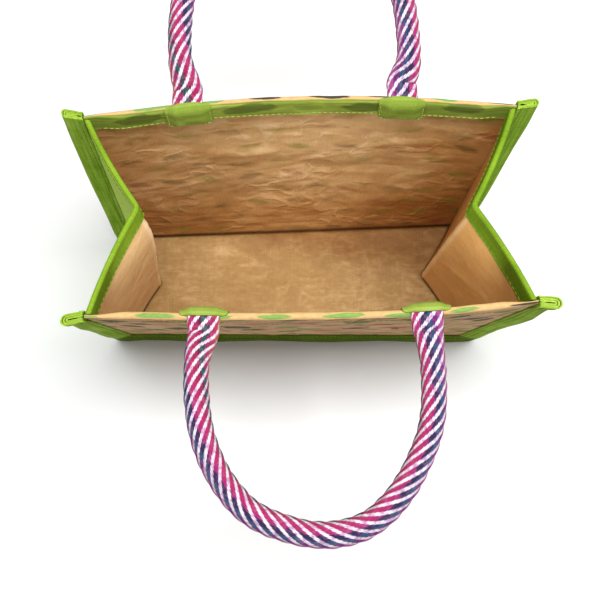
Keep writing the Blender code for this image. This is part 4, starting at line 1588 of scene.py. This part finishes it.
# ------------------------------------------------------------------ handles
@dataclass
class Handle:
    """A padded handle in its woven cover, flat where it is sewn in."""

    side: Side
    radius: float = 0.0085
    end_half_depth: float = 0.0012
    end_drop: float = 0.0145
    ridges: int = 8
    ridge_depth: float = 0.0010
    lead: float = 0.078
    step: float = 0.00085
    around: int = 128
    drift: PerEnd = PerEnd(0.0, 0.0020)
    spread: PerEnd = PerEnd(1.0, 1.045)
    rim_y: float = 0.080
    crest: float = 0.0020
    lead_out: float = 0.010
    route: tuple[tuple[float, float, float], ...] = (
        # side     reach    rise
        (-0.0790, 0.0270, 0.0045),
        (-0.0790, 0.0530, 0.0075),
        (-0.0745, 0.0800, 0.0095),
        (-0.0625, 0.1060, 0.0115),
        (-0.0415, 0.1280, 0.0130),
        (-0.0065, 0.1402, 0.0135),
        (0.0245, 0.1370, 0.0130),
        (0.0472, 0.1205, 0.0120),
        (0.0638, 0.0960, 0.0105),
        (0.0735, 0.0710, 0.0085),
        (0.0763, 0.0440, 0.0065),
        (0.0760, 0.0220, 0.0035),
    )
    growth: tuple[tuple[float, float, float], ...] = (
        # out      half width  half depth
        (0.0005, 0.0110, 0.0012),
        (0.0080, 0.0108, 0.0042),
        (0.0180, 0.0097, 0.0068),
        (0.0300, 0.0085, 0.0085),
    )

    @property
    def lift(self) -> float:
        """Height of a flat end's middle over the hem."""
        return FORM.gap + self.end_half_depth

    def foot(self, hand: Hand) -> Array:
        """Centre line of a flat end: up the hem, round over the rim and a little outwards."""
        radius = FORM.panel_hem / 2.0
        depth = np.concatenate((np.linspace(self.end_drop - radius, 0.0, 15), np.zeros(16)))
        turn = np.concatenate((np.zeros(15), np.linspace(0.0, math.pi / 2.0, 14)[1:],
                               np.full(3, math.pi / 2.0)))
        out = np.concatenate((np.zeros(28), radius + np.array((0.0005, 0.0022, 0.0040))))
        return FORM.over_rim(self.side, Patch(self.side, hand).foot(), depth, turn, out, self.lift)

    def line(self) -> tuple[Array, Array]:
        """Centre line from foot to foot, and a mark of 1 on its first foot and -1 on its last."""
        feet = [self.foot(hand) for hand in Hand]
        middle = Patch(self.side, Hand.LEFT).foot_middle.of(self.side)
        table = np.array(self.route)
        x = middle + self.drift.of(self.side) + self.spread.of(self.side) * table[:, 0]
        y = self.side.value * (self.rim_y + table[:, 1])
        route = np.stack((x, y, FORM.rim + FORM.gap + self.crest + table[:, 2]), axis=-1)
        away = FORM.panel_hem / 2.0 + self.lead_out
        leads = [FORM.over_rim(self.side, foot[-1, 0], 0.0, math.pi / 2.0, away, self.lift)
                 for foot in feet]
        route = np.vstack((feet[0][-1:], leads[0][None], route, leads[1][None], feet[1][-1:]))
        loop = respaced(catmull_rom(route, 48), self.step)
        line = np.vstack((feet[0][:-1], loop, feet[1][:-1][::-1]))
        mark = np.zeros(len(line))
        mark[:len(feet[0]) - 1] = 1.0
        mark[-(len(feet[1]) - 1):] = -1.0
        return line, mark

    def build(self, finishes: "Finishes") -> bpy.types.Object:
        """The cover: rings carried along the line, each turned a little further than the last.

        A ring's radius dips between the strands: a deep dip after each pair, a shallow one
        within it, and fine dips between the yarns of a strand.
        """
        line, mark = self.line()
        tangent = unit(np.gradient(line, axis=0))
        gone = travelled(line)
        rim = FORM.reach(self.side, (line[:, 0] - FORM.rim_shift.of(self.side)) / FORM.half_width,
                         np.full(len(line), FORM.rim))
        out = np.abs(line[:, 1]) - rim
        growth = np.array(self.growth)
        half_width = np.interp(out, growth[:, 0], growth[:, 1])
        half_depth = np.interp(out, growth[:, 0], growth[:, 2])
        wide = np.cross(np.array((0.0, 0.0, 1.0)), tangent)
        foot = np.stack((-self.side.value * mark, mark * 0.0, mark * 0.0), axis=-1)
        wide = np.where((np.abs(mark) > 0.5)[:, None], foot, wide)
        wide = unit(wide - tangent * (wide * tangent).sum(axis=1, keepdims=True))
        deep = np.cross(tangent, wide)
        place = np.arange(self.around) / self.around
        turn = gone / self.lead
        angle = 2.0 * math.pi * (place[None, :] + turn[:, None])
        lobe = place * self.ridges
        main, pair, yarn = (0.5 - 0.5 * np.cos(2.0 * math.pi * waves * lobe)
                            for waves in (1.0, 2.0, 6.0))
        share = (half_depth / self.radius)[:, None]
        dip = (0.55 * main ** 2 + 0.40 * pair ** 2 + 0.13 * yarn)[None, :] * self.ridge_depth
        lump = 0.00022 * crumple(gone[:, None], angle * 0.0085, 0.007, 0.006, 33)
        dip = (dip - lump) * share
        ring = ((half_width[:, None] - dip) * np.cos(angle))[..., None] * wide[:, None]
        ring = ring + ((half_depth[:, None] - dip) * np.sin(angle))[..., None] * deep[:, None]
        points = line[:, None] + ring
        steps = np.arange(self.around + 1)[None, :] / self.around
        uv = np.stack(np.broadcast_arrays(steps, steps + (turn + self.columns(gone))[:, None]),
                      axis=-1)
        piece = build_mesh("handle_" + self.side.word + "_cover", [Skin(points, uv)],
                           [finishes.cover])
        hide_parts("handle_" + self.side.word)
        return piece

    def columns(self, gone: Array) -> Array:
        """How far the cover's colour columns are turned: they swing round between each foot
        and the loop."""
        start, stretch = 0.022, 0.085
        left, right = (gone - start) / stretch, (gone[-1] - gone - start) / stretch
        return -0.24 * (1.0 - smooth(left)) + 0.08 * (1.0 - smooth(right))


# ------------------------------------------------------------------ materials, studio, main
@dataclass
class Finishes:
    """Every material of the bag, made once."""

    printed: dict[Side, bpy.types.Material] = field(init=False)
    jute_inside: bpy.types.Material = field(init=False)
    base: bpy.types.Material = field(init=False)
    gusset: dict[Hand, bpy.types.Material] = field(init=False)
    lining: dict[Hand, bpy.types.Material] = field(init=False)
    tape: bpy.types.Material = field(init=False)
    patch: bpy.types.Material = field(init=False)
    cover: bpy.types.Material = field(init=False)
    hem_thread: bpy.types.Material = field(init=False)
    green_thread: bpy.types.Material = field(init=False)
    patch_thread: bpy.types.Material = field(init=False)

    def __post_init__(self) -> None:
        """Mix the dyes."""
        jute, green, yarn = Jute(), GreenJute(), Yarn()
        self.printed = {Side.FRONT: jute.printed("jute_printed_front", hem=0.2322, black=0.12),
                        Side.BACK: jute.printed("jute_printed_back", hem=0.2300, black=0.75)}
        self.jute_inside = jute.inside()
        # painted light and shade: the linings are one jute in two copies, paler on the left as lit
        # and deeper on the right as shaded
        pale = ((0.58, 0.355, 0.138), (0.75, 0.505, 0.250), (0.86, 0.660, 0.395))
        deep = ((0.56, 0.295, 0.082), (0.71, 0.410, 0.145), (0.81, 0.520, 0.220))
        self.lining = {Hand.LEFT: jute.plain("jute_left_gusset", pale, lively=0.5, fold=0.6,
                                             painted_shade=0.7, fine=0.34),
                       Hand.RIGHT: jute.plain("jute_right_gusset", deep, lively=0.5, fold=0.35,
                                              painted_shade=0.8, fine=0.34)}
        brown = ((0.190, 0.098, 0.026), (0.305, 0.178, 0.062), (0.50, 0.340, 0.155))
        # the base's deep is painted shade towards its back and right
        self.base = jute.plain("jute_base", brown, drawn=2.3, lively=0.85, deep=0.9, fine=0.30)
        # painted shade: the right gusset's lower lift makes its green a darker copy of the left's
        self.gusset = {hand: green.cloth("green_" + hand.word + "_gusset", lift, ribs=0.12,
                                         edge=0.2515, outer=0.46)
                       for hand, lift in ((Hand.LEFT, -0.06), (Hand.RIGHT, -0.13))}
        # the tape's foot darkened by painted shade just above the table
        self.tape = green.cloth("green_tape", 0.07, ribs=0.34, low_shade=0.6)
        leaf = GreenJute((0.062, 0.108, 0.008), (0.215, 0.300, 0.040), (0.500, 0.555, 0.195))
        # edge paints a highlight along the patch's lower edge
        self.patch = leaf.cloth("green_patch", 0.07, ribs=0.15, edge=0.0226, yarns=0.3)
        self.cover = yarn.cover()
        self.hem_thread = yarn.thread("hem_thread", (0.38, 0.46, 0.10), (0.22, 0.28, 0.04))
        self.green_thread = yarn.thread("green_thread", (0.30, 0.46, 0.05), (0.12, 0.20, 0.01))
        self.patch_thread = yarn.thread("patch_thread", (0.50, 0.66, 0.16), (0.24, 0.36, 0.04))


def laid_along(right: Array, up: Array, back: Array, place: Sequence[float]) -> Matrix:
    """Matrix that lays an object's own axes along three directions, at a place."""
    matrix = np.eye(4)
    matrix[:3] = np.stack((right, up, back, place), axis=1)
    return Matrix(matrix.tolist())


@dataclass(frozen=True)
class Lamp:
    """An oblong soft light that faces a point and isn't itself seen.

    size is its width along +X and its other side, metres; power is in watts.
    """

    name: str
    place: tuple[float, float, float]
    aim: tuple[float, float, float]
    size: tuple[float, float]
    power: float

    def hang(self) -> None:
        """Put it in the scene: its own axes from the direction that it faces away from."""
        data = bpy.data.lights.new(self.name, "AREA")
        data.shape = "RECTANGLE"
        data.size, data.size_y = self.size
        data.energy = self.power
        lamp = add_object(self.name, data)
        lamp.visible_camera = False
        back = unit(np.array(self.place) - np.array(self.aim))
        side = unit(np.cross((0.0, 1.0, 0.0) if abs(back[2]) > 0.7 else (0.0, 0.0, 1.0), back))
        lamp.matrix_world = laid_along(side, np.cross(back, side), back, self.place)


@dataclass
class Studio:
    """Pale floor, soft light and the camera at the photograph's angle."""

    image_width: float = 600.0
    focal_pixels: float = 860.0
    sensor: float = 36.0
    camera_place: tuple[float, float, float] = (-0.001, -0.1833, 0.8119)
    look_down: float = 78.32
    roll: float = -1.49
    floor_half: float = 4.0
    sky_strength: float = 0.28
    lamps: tuple[Lamp, ...] = (
        Lamp("key", (0.20, 0.05, 1.70), (0.0, 0.0, 0.05), (1.50, 0.50), 44.0),
        Lamp("over", (0.0, -0.25, 1.70), (0.0, 0.0, 0.05), (0.80, 0.80), 2.0),
        Lamp("fill", (0.005, -0.050, 0.214), (0.005, 0.075, 0.180), (0.23, 0.04), 0.085))

    def camera(self) -> None:
        """The camera: its axes from the angle it looks down by and its roll."""
        lens = bpy.data.cameras.new("camera")
        lens.sensor_width = self.sensor
        lens.sensor_fit = "HORIZONTAL"
        lens.lens = self.focal_pixels / self.image_width * self.sensor
        lens.clip_start = 0.01
        eye = add_object("camera", lens)
        down, roll = math.radians(self.look_down), math.radians(self.roll)
        forward = np.array((0.0, math.cos(down), -math.sin(down)))
        right, up = np.array((1.0, 0.0, 0.0)), np.array((0.0, math.sin(down), math.cos(down)))
        right, up = (math.cos(roll) * right + math.sin(roll) * up,
                     -math.sin(roll) * right + math.cos(roll) * up)
        eye.matrix_world = laid_along(right, up, -forward, self.camera_place)
        bpy.context.scene.camera = eye

    def floor(self) -> None:
        """A plain pale sheet under the bag."""
        mesh = bpy.data.meshes.new("floor")
        half = self.floor_half
        mesh.from_pydata([(-half, -half, 0.0), (half, -half, 0.0), (half, half, 0.0),
                          (-half, half, 0.0)], [], [(0, 1, 2, 3)])
        dye = DyeBath("floor_paper", 0.9)
        cloud = dye.noise(dye.place(), 3.0, 2.0)
        mesh.materials.append(dye.finish(dye.mix(cloud, (0.745, 0.75, 0.75), (0.755, 0.76, 0.76))))
        sheet = add_object("floor", mesh)

    def sky(self) -> None:
        """White surroundings."""
        world = bpy.data.worlds.new("white")
        world.use_nodes = True
        background = world.node_tree.nodes["Background"]
        background.inputs["Color"].default_value = (1.0, 1.0, 1.0, 1.0)
        background.inputs["Strength"].default_value = self.sky_strength
        bpy.context.scene.world = world

    def build(self) -> None:
        """Camera, floor, lights and the picture's plain tone curve."""
        self.camera()
        self.floor()
        self.sky()
        for lamp in self.lamps:
            lamp.hang()
        bpy.context.scene.view_settings.view_transform = "Standard"


BACK_CREASES = (
    # u       v       reach   lean    width   height
    Crease(-0.030, 0.150, 0.056, 0.10, 0.0050, -0.0008),
    Crease(0.040, 0.118, 0.048, -0.12, 0.0060, 0.0009),
    Crease(-0.080, 0.104, 0.036, 0.20, 0.0045, -0.0008),
    Crease(-0.010, 0.074, 0.056, 0.06, 0.0050, 0.0008),
    Crease(0.075, 0.160, 0.036, 0.25, 0.0045, -0.0009),
    Crease(-0.095, 0.170, 0.030, -0.18, 0.0040, 0.0009),
    Crease(0.090, 0.085, 0.036, -0.22, 0.0050, -0.0010),
    Crease(0.010, 0.182, 0.040, 0.12, 0.0040, 0.0006),
    Crease(-0.055, 0.128, 0.030, -0.30, 0.0036, 0.0006),
    Crease(0.020, 0.136, 0.030, 0.28, 0.0036, -0.0006),
)
FRONT_CREASES = (
    Crease(0.050, 0.140, 0.090, -0.04, 0.0060, -0.0008),
    Crease(-0.060, 0.100, 0.080, 0.05, 0.0055, 0.0009),
    Crease(0.010, 0.060, 0.110, 0.02, 0.0055, -0.0007),
    Crease(-0.040, 0.175, 0.070, -0.03, 0.0045, 0.0007),
)
LEFT_CREASES = (
    Crease(-0.030, 0.120, 0.040, 0.9, 0.0050, 0.0007),
    Crease(0.035, 0.090, 0.040, -0.7, 0.0050, -0.0006),
)
RIGHT_CREASES = (
    Crease(-0.035, 0.105, 0.040, -0.8, 0.0055, -0.0006),
    Crease(0.030, 0.140, 0.040, 0.8, 0.0050, 0.0006),
)
BASE_CREASES = (
    Crease(-0.030, -0.0085, 0.080, -0.022, 0.0020, 0.0012),
    Crease(0.000, -0.0150, 0.060, 0.010, 0.0020, 0.0007),
    Crease(0.060, 0.0050, 0.060, 0.05, 0.0030, 0.0005),
    Crease(-0.070, 0.0180, 0.060, 0.02, 0.0035, -0.0004),
)


def main() -> None:
    """Build the studio, then the bag's pieces in order."""
    logging.basicConfig(level=logging.INFO, format="%(name)s %(message)s")
    Studio().build()
    finishes = Finishes()
    makers: list[Any] = [SeamTape(Side.FRONT), SeamTape(Side.BACK),
                         Panel(Side.FRONT, FRONT_CREASES), Panel(Side.BACK, BACK_CREASES),
                         Gusset(Hand.LEFT, LEFT_CREASES), Gusset(Hand.RIGHT, RIGHT_CREASES),
                         BaseCloth(BASE_CREASES)]
    makers += [Patch(side, hand) for side in Side for hand in Hand]
    makers += [Handle(side) for side in Side]
    for maker in makers:
        piece = maker.build(finishes)
        log.info("made %s", piece.name)
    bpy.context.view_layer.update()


if __name__ == "__main__":
    main()
